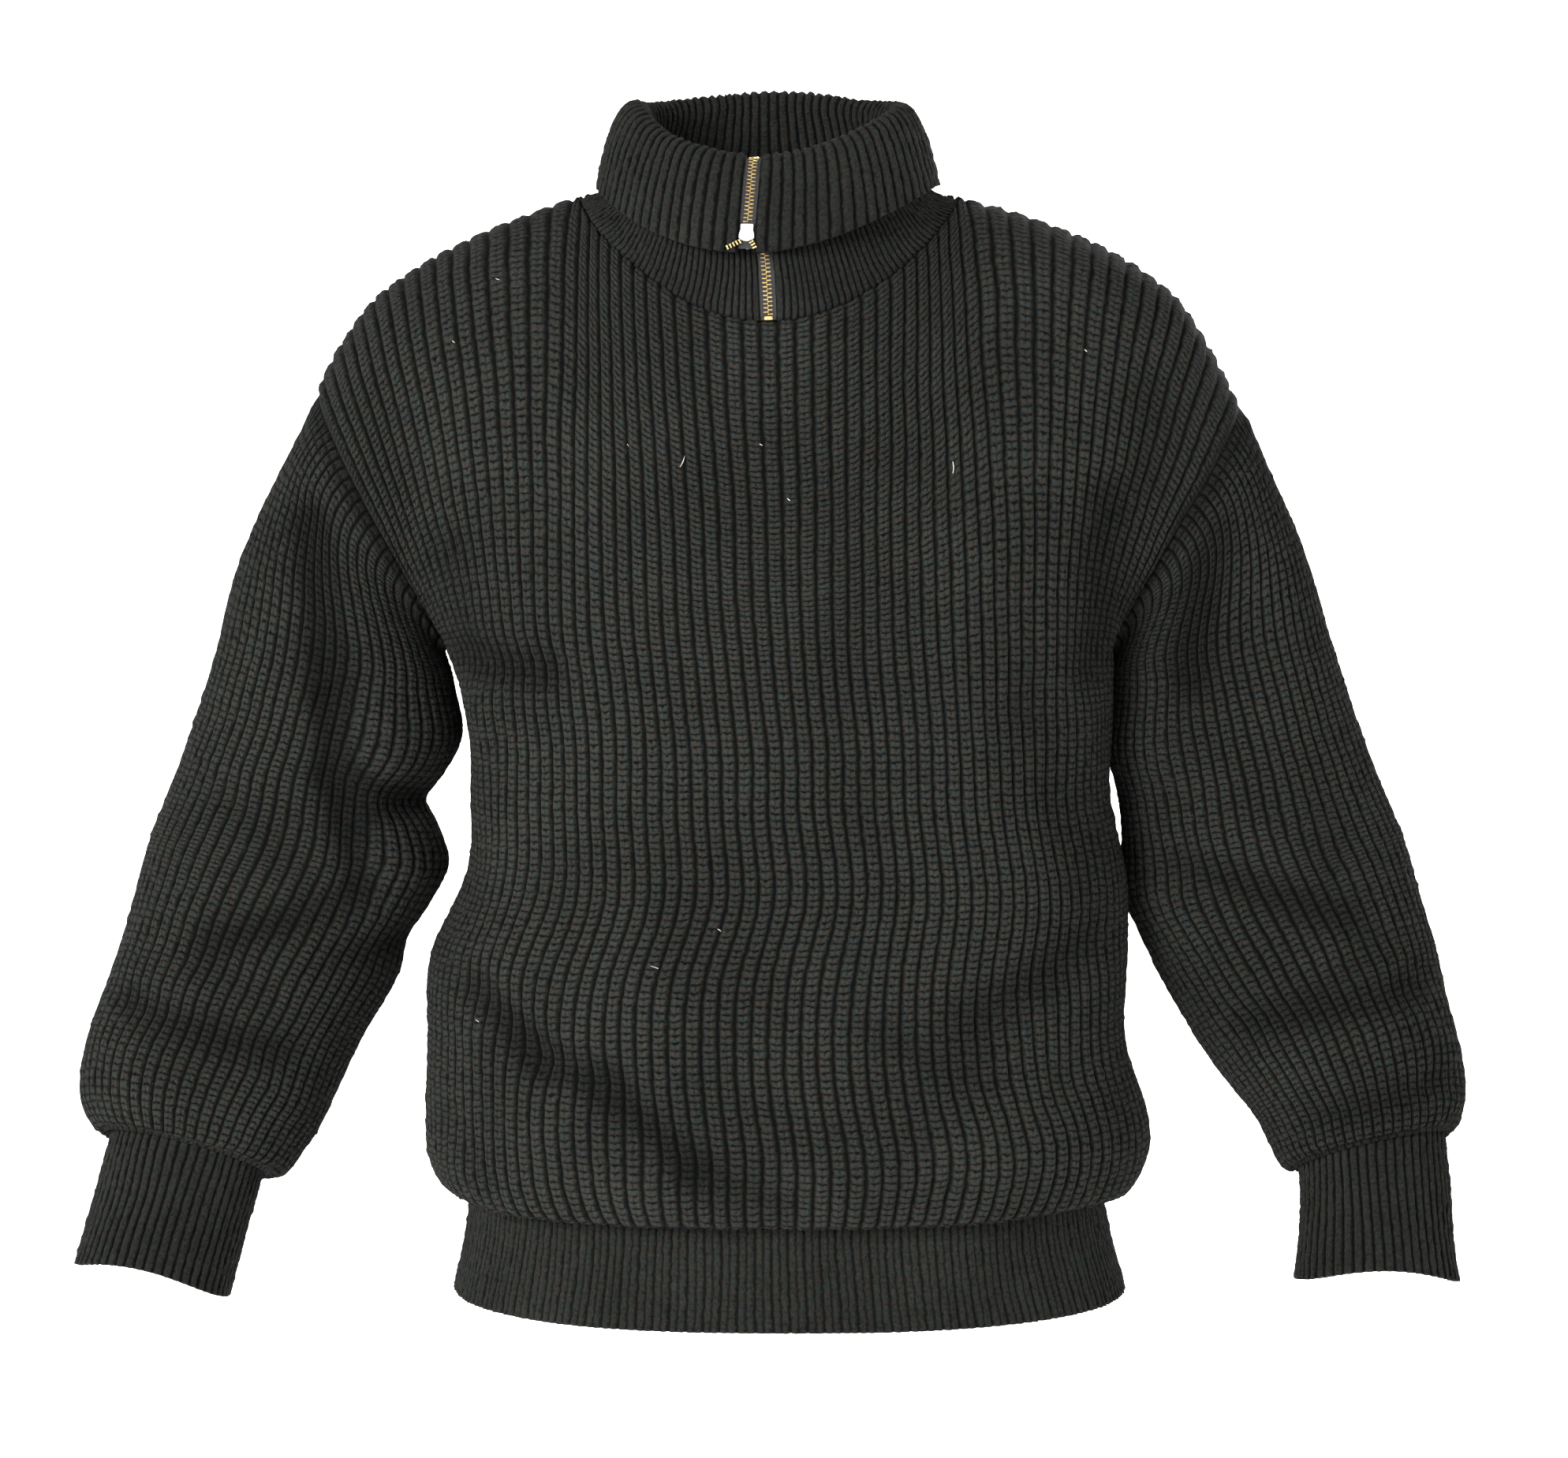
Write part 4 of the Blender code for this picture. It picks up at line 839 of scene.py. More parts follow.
def rim_faces(row, wide, narrow, closed, start):
    """Faces that close a wall's edge between its finely and its coarsely divided sides."""
    strips = narrow if closed else narrow - 1
    per_strip = (wide if closed else wide - 1) // strips
    faces, places = [], []
    for column in range(strips):
        near = start + row * narrow + column
        far = start + row * narrow + (column + 1) % narrow
        for place in range(per_strip):
            here = column * per_strip + place
            first = row * wide + here % wide
            second = row * wide + (here + 1) % wide
            faces.append((second, first, near if place < per_strip / 2 else far))
            places.append(((here + 1, row), (here, row), (here, row)))
            if place + 1 == math.ceil(per_strip / 2):
                faces.append((near, far, second))
                places.append(((here, row), (here + 1, row), (here + 1, row)))
    if row:
        faces = [face[::-1] for face in faces]
        places = [place[::-1] for place in places]
    return faces, places


def side_faces(rows, wide, narrow, start):
    """Faces that close the two upright edges of an open panel."""
    faces, places = [], []
    for row in range(rows - 1):
        for column, far, flip in ((0, 0, 1), (wide - 1, narrow - 1, -1)):
            face = (row * wide + column, (row + 1) * wide + column,
                    start + (row + 1) * narrow + far, start + row * narrow + far)
            place = ((column, row), (column, row + 1), (column, row + 1), (column, row))
            faces.append(face[::flip])
            places.append(place[::flip])
    return faces, places


def wall_piece(name, outer, inner, normals, closed, finish, inner_ribs=1, folds=None):
    """A closed wall of knit between its outer side and its inner one, as one piece.

    Each corner carries its place in the knit: ribs across and loops up. Each point carries how far a
    fold lifts or sinks it, deepened by the painted shade of the seams; the finish paints shade in
    the troughs and light on the ridges from it.
    """
    rows, wide = outer.shape[:2]
    narrow = inner.shape[1]
    start = rows * wide
    quads, places = grid_faces(rows, wide, closed, 0)
    inner_quads, inner_places = grid_faces(rows, narrow, closed, start)
    per_strip = (wide if closed else wide - 1) / (narrow if closed else narrow - 1)
    knit = [places / (COLUMNS, ROWS_PER_STITCH)]
    across = per_strip * inner_ribs / COLUMNS
    knit.append(inner_places[:, ::-1] * (across, 1 / ROWS_PER_STITCH) + (inner_ribs / 2, 0.0))
    corners = [quads, inner_quads[:, ::-1]]
    edges = [rim_faces(row, wide, narrow, closed, start) for row in (0, rows - 1)]
    edges += [] if closed else [side_faces(rows, wide, narrow, start)]
    for faces, spots in edges:
        corners.append(np.array(faces))
        knit.append(np.array(spots, float) / (COLUMNS, ROWS_PER_STITCH))
    sample = quads[len(quads) // 2 + wide // 3]
    a, b, _, d = outer.reshape(-1, 3)[sample]
    if np.cross(b - a, d - a) @ normals.reshape(-1, 3)[sample[0]] < 0:
        corners = [faces[:, ::-1] for faces in corners]
        knit = [spots[:, ::-1] for spots in knit]
    spots = np.concatenate([spot.reshape(-1, 2) for spot in knit])
    spots = np.column_stack([spots, np.zeros(len(spots))])
    points = np.concatenate([outer.reshape(-1, 3), inner.reshape(-1, 3)])
    data = mesh_from_arrays(name, points, corners)
    data.attributes.new("knit", "FLOAT_VECTOR", "CORNER").data.foreach_set("vector", spots.ravel())
    depth = np.zeros(len(points), np.float32)
    if folds is not None:
        depth[:start] = folds.ravel()
    data.attributes.new("fold", "FLOAT", "POINT").data.foreach_set("value", depth)
    return add_piece(name, data, finish, CLOTH_BODY)


def mesh_from_arrays(name, points, corners):
    """A smooth mesh from its points and from arrays of faces with as many corners each."""
    data = bpy.data.meshes.new(name)
    totals = np.concatenate([np.full(len(faces), faces.shape[1]) for faces in corners])
    data.vertices.add(len(points))
    data.vertices.foreach_set("co", points.astype(np.float32).ravel())
    data.loops.add(int(totals.sum()))
    data.loops.foreach_set("vertex_index", np.concatenate([faces.ravel() for faces in corners]))
    data.polygons.add(len(totals))
    data.polygons.foreach_set("loop_start", np.concatenate([[0], np.cumsum(totals)[:-1]]))
    data.polygons.foreach_set("loop_total", totals)
    data.polygons.foreach_set("use_smooth", np.ones(len(totals), bool))
    data.update(calc_edges=True)
    return data


def add_piece(name, data, finish, body):
    """One named object with its finish, which rides on a body."""
    made = bpy.data.objects.new(name, data)
    data.materials.clear()
    data.materials.append(finish)
    bpy.context.scene.collection.objects.link(made)
    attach(made, body)
    return made


def knit_panel(name, face, looks, finish):
    """Front or back of the body, from the hem seam to the neckline and shoulders."""
    share = np.linspace(-1.0, 1.0, COLUMNS * BODY_RIBS + 1)
    few = np.linspace(-1.0, 1.0, 9)
    row_height = looks.stitch / ROWS_PER_STITCH
    levels = even_places(
        lambda level: panel_line(face, few, level), 0.0, UNDERARM + 1.0, row_height)
    points, normals, folds = panel_surface(face, share, levels)
    fade = smooth_step(1 - np.abs(share), 0.0, 0.02)[None, :]
    fade = fade * smooth_step(levels, 0.0, 0.4)[:, None]
    outer = knit_up(points, normals, folds, FULL_RIB, looks.rib_rise, 3 + face, fade)
    inner = plain_inside(points, normals, folds, COLUMNS, False)
    keep = slice(None, None, COLUMNS)
    by_neck = np.abs(share[keep]) < NECK_SHARE + 0.01
    inner[-1, by_neck] -= NECK_RIM_DROP * unit(points[-1, keep] - points[-2, keep])[by_neck]
    inner[0] += HEM_RIM_BACK * unit((points[1, keep] - points[0, keep]) * [1, 1, 0])
    # Painted shade along the armhole seams, added to the fold depth that the finish reads, without
    # moving the cloth
    by_edge = np.exp(-((1 - np.abs(share)) / 0.02) ** 2)
    by_armhole = smooth_step(levels, UNDERARM - 0.5, UNDERARM + 0.2)[:, None]
    seam = SEAM_SHADE * by_edge * by_armhole
    return wall_piece(name, outer, inner, normals, False, finish, folds=folds - seam)


def knit_sleeve(name, side, rows, looks, finish):
    """A full sleeve from its armhole to the tuck above the cuff."""
    row_height = looks.stitch / ROWS_PER_STITCH
    points, normals, folds = sleeve_surface(side, rows, row_height)
    ends = np.linspace(0.0, 1.0, len(points))
    fade = smooth_step(ends, 0.0, 0.015) * smooth_step(1 - ends, 0.0, 0.02)
    outer = knit_up(points, normals, folds, FULL_RIB, looks.rib_rise, 20 + side, fade[:, None])
    inner = plain_inside(points, normals, folds, COLUMNS, True)
    # Painted shade along the armhole seam, added to the fold depth that the finish reads, without
    # moving the cloth
    seam = SEAM_SHADE * np.exp(-(ends / 0.02) ** 2)[:, None]
    return wall_piece(name, outer, inner, normals, True, finish, folds=folds - seam)


def knit_cuff(name, side, rows, sleeve_rows, looks, finish):
    """A ribbed cuff, whose upper edge is sewn inside the sleeve's tuck."""
    turn = np.arange(COLUMNS * CUFF_RIBS) / (COLUMNS * CUFF_RIBS)
    seam, seam_out, down = ring(sleeve_rows, len(sleeve_rows["out"]) - 1, turn, side)
    offset = seam - seam_out * CUFF_CLEARANCE - down * CUFF_LAP - ring(rows, 0, turn, side)[0]
    last = len(rows["out"]) - 1

    def line(place):
        base, _, along = ring(rows, place, turn, side)
        fore = np.sin(turn * 2 * math.pi)
        lift = CUFF_ARCH * fore ** 2 - CUFF_TILT * fore - CUFF_DROP
        lift = lift[:, None] * smooth_step(place, 0.3, last)
        return base + offset * (1 - smooth_step(place, 0.0, 1.0)) - lift * along

    places = even_places(line, 0.0, last, looks.fine_stitch / ROWS_PER_STITCH)
    points = np.array([line(place) for place in places])
    normals = np.array([ring(rows, place, turn, side)[1] for place in places])
    fade = smooth_step(places, 0.0, 0.25)[:, None]
    folds = np.zeros(points.shape[:2])
    outer = knit_up(points, normals, folds, ROUND_RIB, looks.ribbing_rise, 30 + side, fade)
    inner = knit_up(points - WALL * normals, normals, folds, BACK_OF_RIB, 0.0012, 32 + side)
    return wall_piece(name, outer, inner, normals, True, finish)


def knit_hem_band(name, face, looks, finish):
    """Half of the deep ribbed band below the overhang of the body."""
    share = np.linspace(-1.0, 1.0, COLUMNS * HEM_RIBS + 1)
    last = len(HEM["height"]) - 1
    few = np.linspace(-1.0, 1.0, 9)
    row_height = looks.fine_stitch / ROWS_PER_STITCH
    places = even_places(lambda place: section(HEM, place, few, face), 0.0, last, row_height)
    step = 0.004
    points, normals = [], []
    for place in places:
        points.append(section(HEM, place, share, face))
        ends = np.clip([share + step, share - step], -1, 1)
        across = section(HEM, place, ends[0], face) - section(HEM, place, ends[1], face)
        normal = unit(np.cross(across, [0.0, 0.0, 1.0])) * -face
        normal[[0, -1], 1] = 0.0
        normals.append(unit(normal))
    points, normals = np.array(points), np.array(normals)
    folds = np.zeros(points.shape[:2])
    fade = smooth_step(1 - np.abs(share), 0.0, 0.02) * smooth_step(places, 0.0, 0.25)[:, None]
    outer = knit_up(points, normals, folds, PAIRED_RIB, looks.ribbing_rise, 40 + face, fade)
    inner = (points - WALL * normals)[:, ::COLUMNS]
    return wall_piece(name, outer, inner, normals, False, finish)


def collar_line(turn, station):
    """A line round the collar, from one side of the front opening (0) round to the other (1)."""
    row = read_rows(COLLAR, station)
    opening = math.asin(OPENING_HALF / row["half_width"])
    angle = opening + np.asarray(turn) * (2 * math.pi - 2 * opening)
    cosine = np.cos(angle)
    front = cosine > 0
    size = np.abs(cosine)
    depth = np.where(front, row["front"], row["back"])
    height = np.where(front, row["front_height"], row["back_height"])
    x = row["half_width"] * np.sin(angle)
    y = np.where(front, -1.0, 1.0) * depth * size ** row["round"]
    z = row["side_height"] + (height - row["side_height"]) * size ** NECK_DIP
    shift = math.radians(row["turn"]) * (0.5 + 0.5 * cosine)
    x, y = x * np.cos(shift) - y * np.sin(shift), x * np.sin(shift) + y * np.cos(shift)
    return np.stack([x, y, z], axis=-1)


def neck_ring(turn):
    """The collar's lower edge: the neck seam itself, a seam's gap above it."""
    opening = math.asin(OPENING_HALF / NECK_HALF_WIDTH)
    angle = opening + np.asarray(turn) * (2 * math.pi - 2 * opening)
    from_front = np.arcsin(np.clip(np.sin(angle), -1.0, 1.0))
    points, normals = np.zeros((len(angle), 3)), np.zeros((len(angle), 3))
    for face in (FRONT, BACK):
        for side in (-1, 1):
            here = ((np.cos(angle) > 0) == (face == FRONT)) & ((np.sin(angle) >= 0) == (side > 0))
            across = from_front[here]
            step = 0.01 * face
            seam = neckline(across, face)
            along = neckline(across + step, face) - neckline(across - step, face)
            normal = neck_normal(np.abs(across) / (math.pi / 2), side, face)
            up = unit(np.cross(along, normal))
            up *= np.where(up[:, 2:] > 0, 1.0, -1.0)
            points[here] = seam - normal * WALL / 2 + up * NECK_SEAM_GAP
            normals[here] = normal
    return points, normals


def collar_surface(turn, row_height):
    """Middle points of the collar's wall, and the direction to the side away from the neck."""
    last = len(COLLAR["front"]) - 1
    seam, seam_normals = neck_ring(turn)
    offset = seam - collar_line(turn, 0)
    blend = 2.2

    def line(station, shift=0.0):
        return (collar_line(turn + shift, station)
                + offset * (1 - smooth_step(station, 0.0, blend)))

    stations = even_places(line, 0.0, last, row_height)
    step = 0.004
    points, normals = [], []
    for station in stations:
        around = line(station, step) - line(station, -step)
        up = line(min(station + 0.05, last)) - line(max(station - 0.05, 0.0))
        by_seam = 1 - smooth_step(station, 0.0, 0.5)
        normal = unit(np.cross(around, up))
        points.append(line(station))
        normals.append(unit(normal * (1 - by_seam) + seam_normals * by_seam))
    return np.array(points), np.array(normals)


def knit_collar(looks, finish):
    """One ribbed strip, up the stand, over the fold and down the flap."""
    turn = np.linspace(0.0, 1.0, COLUMNS * COLLAR_RIBS + 1)
    row_height = looks.fine_stitch / ROWS_PER_STITCH
    points, normals = collar_surface(turn, row_height)
    folds = np.zeros(points.shape[:2])
    ends = np.linspace(0.0, 1.0, len(points))
    fade = smooth_step(ends, 0.0, 0.03)[:, None] * smooth_step(0.5 - np.abs(turn - 0.5), 0.0, 0.006)
    neck_side = knit_up(points - normals * COLLAR_WALL / 2, -normals, folds, ROUND_RIB,
                        looks.ribbing_rise, 50, fade)
    stand_side = knit_up(points + normals * COLLAR_WALL / 2, normals, folds, STAND_RIB,
                         STAND_RIB_RISE, 51, fade)
    return wall_piece("roll_collar", neck_side, stand_side, -normals, False, finish, 2)


class Value:
    """A number, colour or vector in a finish; operators on numbers add their Math nodes."""

    def __init__(self, finish, socket):
        self.finish = finish
        self.socket = socket

    def maths(self, operation, *values):
        places = dict(enumerate(values))
        return self.finish.node("ShaderNodeMath", {"operation": operation}, places)

    def __add__(self, other):
        return self.maths("ADD", self, other)

    def __sub__(self, other):
        return self.maths("SUBTRACT", self, other)

    def __rsub__(self, other):
        return self.maths("SUBTRACT", other, self)

    def __mul__(self, other):
        return self.maths("MULTIPLY", self, other)

    __radd__ = __add__
    __rmul__ = __mul__

    def __mod__(self, other):
        return self.maths("FLOORED_MODULO", self, other)

    def size(self):
        return self.maths("ABSOLUTE", self)

    def ramp(self, low, high, start=0.0, end=1.0):
        """Smoothly from start at low to end at high, and level beyond."""
        settings = {"interpolation_type": "SMOOTHSTEP"}
        return self.finish.node(
            "ShaderNodeMapRange", settings,
            {"Value": self, "From Min": low, "From Max": high, "To Min": start, "To Max": end})


class Finish:
    """One material's nodes, built up to its Principled shader."""

    def __init__(self, name, **constants):
        self.material = bpy.data.materials.new(name)
        self.material.use_nodes = True
        self.tree = self.material.node_tree
        self.shader = self.tree.nodes["Principled BSDF"]
        for socket, value in constants.items():
            self.shader.inputs[socket.replace("_", " ")].default_value = value

    def node(self, kind, settings=None, sockets=None, output=0):
        """Any node: its settings first, then the values or links of its sockets."""
        made = self.tree.nodes.new(kind)
        for name, value in (settings or {}).items():
            setattr(made, name, value)
        for place, value in (sockets or {}).items():
            self.join(made.inputs[place], value)
        return Value(self, made.outputs[output])

    def join(self, socket, value):
        if isinstance(value, Value):
            self.tree.links.new(value.socket, socket)
        elif socket.type == "RGBA" and len(value) == 3:
            socket.default_value = (*value, 1.0)
        else:
            socket.default_value = value

    def feed(self, **sockets):
        for socket, value in sockets.items():
            self.join(self.shader.inputs[socket.replace("_", " ")], value)

    def place(self):
        return self.node("ShaderNodeTexCoord", output="Object")

    def noise(self, scale, detail=2.0, roughness=0.5):
        sockets = {"Vector": self.place(), "Scale": scale, "Detail": detail,
                   "Roughness": roughness}
        return self.node("ShaderNodeTexNoise", None, sockets)

    def mix(self, factor, first, second, blend="MIX"):
        """Colours: the first where the factor is 0, the second where it is 1."""
        settings = {"data_type": "RGBA", "blend_type": blend}
        return self.node("ShaderNodeMix", settings,
                         {"Factor": factor, 6: first, 7: second}, output=2)

    def bump(self, height, distance, strength=1.0):
        return self.node("ShaderNodeBump", None,
                         {"Height": height, "Distance": distance, "Strength": strength})


def wool_finish(name, looks, wales, slant, bars, groove_shade, loops, lighter):
    """Heathered wool knit: slanted loops up each rib, small bars in its flanks, loose fibres, and
    painted shade between the loops, in the grooves and in the folds, with painted light on the
    ridges of folds.

    Wales is how many columns of loops a rib has, slant how steep their two halves lie, bars how much
    of a rib's side shows bars, groove_shade how far painted shade darkens the grooves between the
    ribs, loops how far the loops stand out of the fluff, and lighter how much paler the wool is than
    its colour.
    """
    wool = Finish(name, Roughness=0.95, Sheen_Weight=0.02, Sheen_Roughness=0.4,
                  Sheen_Tint=(0.62, 0.62, 0.62, 1.0), Specular_IOR_Level=0.03)
    knit = wool.node("ShaderNodeAttribute", {"attribute_name": "knit"}, output="Vector")
    places = wool.node("ShaderNodeSeparateXYZ", None, {0: knit})
    row_socket = places.socket.node.outputs[1]
    drift = wool.noise(GRAINS["drift"], 1.0)
    wander = wool.noise(GRAINS["wander"], 1.0)
    rib = places + (wander - 0.5) * 0.24
    row = Value(wool, row_socket) + (drift - 0.5) * 0.8 + (wander - 0.5) * 0.4
    across = ((rib * wales) % 1.0 - 0.5).size() * 2.0
    outer = ((rib % 1.0) - 0.5).size() * 2.0
    strand = ((row - across * slant) % 1.0 - 0.5).size() * 2.0
    loop = strand.ramp(0.30, 1.0, 1.0, 0.0) * across.ramp(0.0, 0.3, 0.45, 1.0)
    bar = ((row * 2.0) % 1.0 - 0.5).size() * 2.0
    side = outer.ramp(0.35, 0.7) * bars
    loop = loop * (1.0 - side) + (1.0 - bar * bar) * side * 0.8
    ply = wool.noise(GRAINS["ply"], 3.0, 0.7)
    fluff = wool.noise(GRAINS["fluff"], 2.0, 0.6)
    yarn = loop * loops + ply * 0.62 + fluff * 0.86 + (-0.01 - loops * 0.52)
    fold = wool.node("ShaderNodeAttribute", {"attribute_name": "fold"}, output="Fac")
    # Painted shade: the wool darkens towards the grooves between the wales and towards each rib's
    # outer edge; the same depth also lowers the bump there
    depth = across.ramp(0.42, 1.0, 1.0, 1.0 - groove_shade) * outer.ramp(0.6, 0.95, 1.0, 0.6)
    # Painted shade in fold troughs and along seams, and painted light on fold ridges, read from the
    # fold depth each point carries
    shaded = fold.ramp(-0.0065, 0.0005, FOLD_SHADE, 1.0) * fold.ramp(0.0, 0.005, 1.0, 1.12)
    # The yarn's loops and fluff, times the painted shade of grooves and folds and the painted light
    # on fold ridges
    tone_and_shade = yarn.ramp(0.18, 1.0) * depth * shaded
    patch = wool.noise(GRAINS["patch"], 2.0)
    top = tuple(channel * lighter for channel in looks.wool)
    # Painted shade: low tone takes the near-black gap colour, high tone the wool on top of a loop
    colour = wool.mix(tone_and_shade, looks.gap, top)
    warm = wool.mix(wool.noise(GRAINS["warm"], 2.0).ramp(0.40, 0.60), *WARM_FLECKS)
    cool = wool.mix(wool.noise(GRAINS["cool"], 2.0).ramp(0.42, 0.58), *COOL_FLECKS)
    colour = wool.mix(1.0, colour, warm, "MULTIPLY")
    colour = wool.mix(1.0, colour, cool, "MULTIPLY")
    shade = patch.ramp(0.3, 0.7, 0.84, 1.16)
    grey = wool.node("ShaderNodeCombineColor", None, {0: shade, 1: shade, 2: shade})
    colour = wool.mix(1.0, colour, grey, "MULTIPLY")
    hairs = wool.noise(GRAINS["hairs"], 2.0, 0.65).ramp(0.58, 0.70) * tone_and_shade
    pale_wool = tuple(min(channel * 3.0, 1.0) for channel in top)
    colour = wool.mix(hairs * 0.8, colour, pale_wool)
    wool.feed(Base_Color=colour, Roughness=fluff.ramp(0.3, 0.7, 0.86, 0.98))
    wool.feed(Normal=wool.bump(yarn * depth, LOOP_HEIGHT))
    return wool.material


def metal_finish(name, colour, roughness, tarnish):
    """Polished zip metal with fine scratches and a little tarnish in patches."""
    metal = Finish(name, Metallic=1.0)
    patches = metal.noise(600.0, 3.0, 0.6)
    dark = tuple(channel * tarnish for channel in colour)
    metal.feed(Base_Color=metal.mix(patches.ramp(0.35, 0.65), dark, tuple(colour)))
    scratch = metal.noise(3000.0, 2.0, 0.7)
    metal.feed(Roughness=scratch.ramp(0.3, 0.75, roughness * 0.75, roughness * 1.5))
    metal.feed(Normal=metal.bump(scratch, 0.00004, 0.5))
    return metal.material


def tape_finish(name, colour):
    """Tightly woven zip tape: a fine twill of crossing threads."""
    tape = Finish(name, Roughness=0.85)
    axes = tape.node("ShaderNodeSeparateXYZ", None, {0: tape.place()})
    up = Value(tape, axes.socket.node.outputs[2])
    twill = ((axes * 1400.0 + up * 1400.0) % 1.0 - 0.5).size() * 2.0
    cross = ((up * 2100.0) % 1.0 - 0.5).size() * 2.0
    weave = twill * 0.6 + cross * 0.4
    dark = tuple(channel * 0.4 for channel in colour)
    light = tuple(min(channel * 2.2, 1.0) for channel in colour)
    tape.feed(Base_Color=tape.mix(weave, dark, light))
    tape.feed(Normal=tape.bump(weave, 0.00015, 0.7))
    return tape.material


def lint_finish(name, colour):
    """Dry, pale fibres with some darker stretches."""
    lint = Finish(name, Roughness=0.8, Sheen_Weight=0.2)
    dull = tuple(channel * 0.55 for channel in colour)
    lint.feed(Base_Color=lint.mix(lint.noise(420.0, 2.0).ramp(0.35, 0.65), dull, tuple(colour)))
    return lint.material


def paper_finish(name, colour, glow):
    """Matt white paper lit a little from behind, with faint clouds."""
    paper = Finish(name, Roughness=0.95, Emission_Strength=glow,
                   Emission_Color=(1.0, 1.0, 1.0, 1.0))
    off = tuple(channel * 0.985 for channel in colour)
    paper.feed(Base_Color=paper.mix(paper.noise(3.0, 0.0), off, tuple(colour)))
    return paper.material


def zip_line(station):
    """Middle of the zip where it runs along the collar's front opening, and its directions."""
    last = len(COLLAR["front"]) - 1
    ends = collar_line(np.array([0.0, 1.0]), station)
    ahead = collar_line(np.array([0.0, 1.0]), min(station + 0.1, last)).mean(axis=0)
    behind = collar_line(np.array([0.0, 1.0]), max(station - 0.1, 0)).mean(axis=0)
    along = unit(ahead - behind)
    across = unit(ends[0] - ends[1])
    across = unit(across - (across @ along) * along)
    return ends.mean(axis=0), along, across, np.cross(along, across)


def slider_place():
    """The slider's own frame: X across, Y through the flap towards the stand, Z up the chain."""
    centre, along, across, _ = zip_line(SLIDER_STATION)
    up = -along
    through = unit(np.cross(up, across))
    across = np.cross(through, up)
    if through[1] < 0:
        through, across = -through, -across
    made = Matrix((across, through, up)).transposed().to_4x4()
    made.translation = Vector(centre)
    return made


def add_solid(mesh, outline, bottom, top, place, edge=0.0):
    """Thicken an outline in X and Y from bottom to top, its upper and lower edges eased."""
    middle = np.mean(outline, axis=0)
    levels = [(bottom, edge), (bottom + edge, 0.0), (top - edge, 0.0), (top, edge)]
    rings = []
    for height, inset in levels if edge else [levels[0], levels[3]]:
        line = []
        for x, y in outline:
            back = Vector((middle[0] - x, middle[1] - y))
            shift = back.normalized() * inset
            line.append(mesh.verts.new(place @ Vector((x + shift.x, y + shift.y, height))))
        rings.append(line)
    for first, second in zip(rings[:-1], rings[1:]):
        for here in range(len(outline)):
            after = (here + 1) % len(outline)
            mesh.faces.new((first[here], first[after], second[after], second[here]))
    mesh.faces.new(rings[0][::-1])
    mesh.faces.new(rings[-1])


def solid_piece(name, mesh, finish, body):
    """A piece from finished mesh work, with flat faces shaded crisply."""
    bmesh.ops.recalc_face_normals(mesh, faces=mesh.faces)
    data = bpy.data.meshes.new(name)
    mesh.to_mesh(data)
    mesh.free()
    return add_piece(name, data, finish, body)


def add_tooth(mesh, centre, along, across, through, side):
    """One zip tooth: a narrow neck from the tape and a wider rounded head past the middle."""
    reach, width, over = TOOTH_REACH, TOOTH_HALF_WIDTH, TOOTH_OVERLAP
    outline = [(reach, -width * 0.75), (reach, width * 0.75), (over * 1.2, width * 0.7),
               (0.0, width * 1.25), (-over * 0.8, width * 0.9), (-over, 0.0),
               (-over * 0.8, -width * 0.9), (0.0, -width * 1.25), (over * 1.2, -width * 0.7)]
    outline = outline if side > 0 else [(-x, y) for x, y in outline[::-1]]
    place = Matrix((across, along, through)).transposed().to_4x4()
    place.translation = Vector(centre)
    half = TOOTH_HALF_THICKNESS
    add_solid(mesh, outline, -half, half, place, half * 0.3)


def make_closed_teeth(finish):
    """The closed chain, tooth by tooth from both sides, from the neck seam to the slider."""
    fine = np.linspace(CHAIN_START, CHAIN_END, 400)
    centres = np.array([zip_line(station)[0] for station in fine])
    steps = np.linalg.norm(np.diff(centres, axis=0), axis=1)
    length = np.concatenate([[0.0], np.cumsum(steps)])
    count = int(length[-1] / (TOOTH_STEP / 2))
    mesh = bmesh.new()
    for place in range(1, count):
        station = np.interp(place * TOOTH_STEP / 2, length, fine)
        centre, along, across, through = zip_line(station)
        add_tooth(mesh, centre, along, across, through, 1 if place % 2 else -1)
    centre, along, across, through = zip_line(STOP_STATION)
    stop = Matrix((across, along, through)).transposed().to_4x4()
    stop.translation = Vector(centre)
    add_solid(mesh, [(0.0026, -0.0011), (0.0026, 0.0011), (-0.0026, 0.0011), (-0.0026, -0.0011)],
              -TOOTH_HALF_THICKNESS, TOOTH_HALF_THICKNESS, stop, 0.0004)
    made = solid_piece("closed_teeth", mesh, finish, CLOTH_BODY)
    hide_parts("zip_chain")
    return made


def make_backing(finish):
    """The woven middle of the zip, behind its teeth from the neck seam to the flap's edge."""
    half, thick, across_count = OPENING_HALF + 0.0008, 0.0003, 5
    stations = np.linspace(0.02, BACKING_END, 140)
    front, back = [], []
    for station in stations:
        centre, _, across, through = zip_line(station)
        line = centre + np.linspace(-half, half, across_count)[:, None] * across
        front.append(line - through * thick)
        back.append(line + through * thick)
    front, back = np.array(front), np.array(back)
    loops = [np.concatenate([front[place], back[place][::-1]]) for place in range(len(stations))]
    quads, _ = grid_faces(len(loops), 2 * across_count, True, 0)
    caps = np.array([[place, place + 1, 2 * across_count - 2 - place, 2 * across_count - 1 - place]
                     for place in range(across_count - 1)])
    ends = np.concatenate([caps[:, ::-1], caps + (len(loops) - 1) * 2 * across_count])
    data = mesh_from_arrays("tape_middle", np.concatenate(loops), [quads, ends])
    return add_piece("tape_middle", data, finish, CLOTH_BODY)


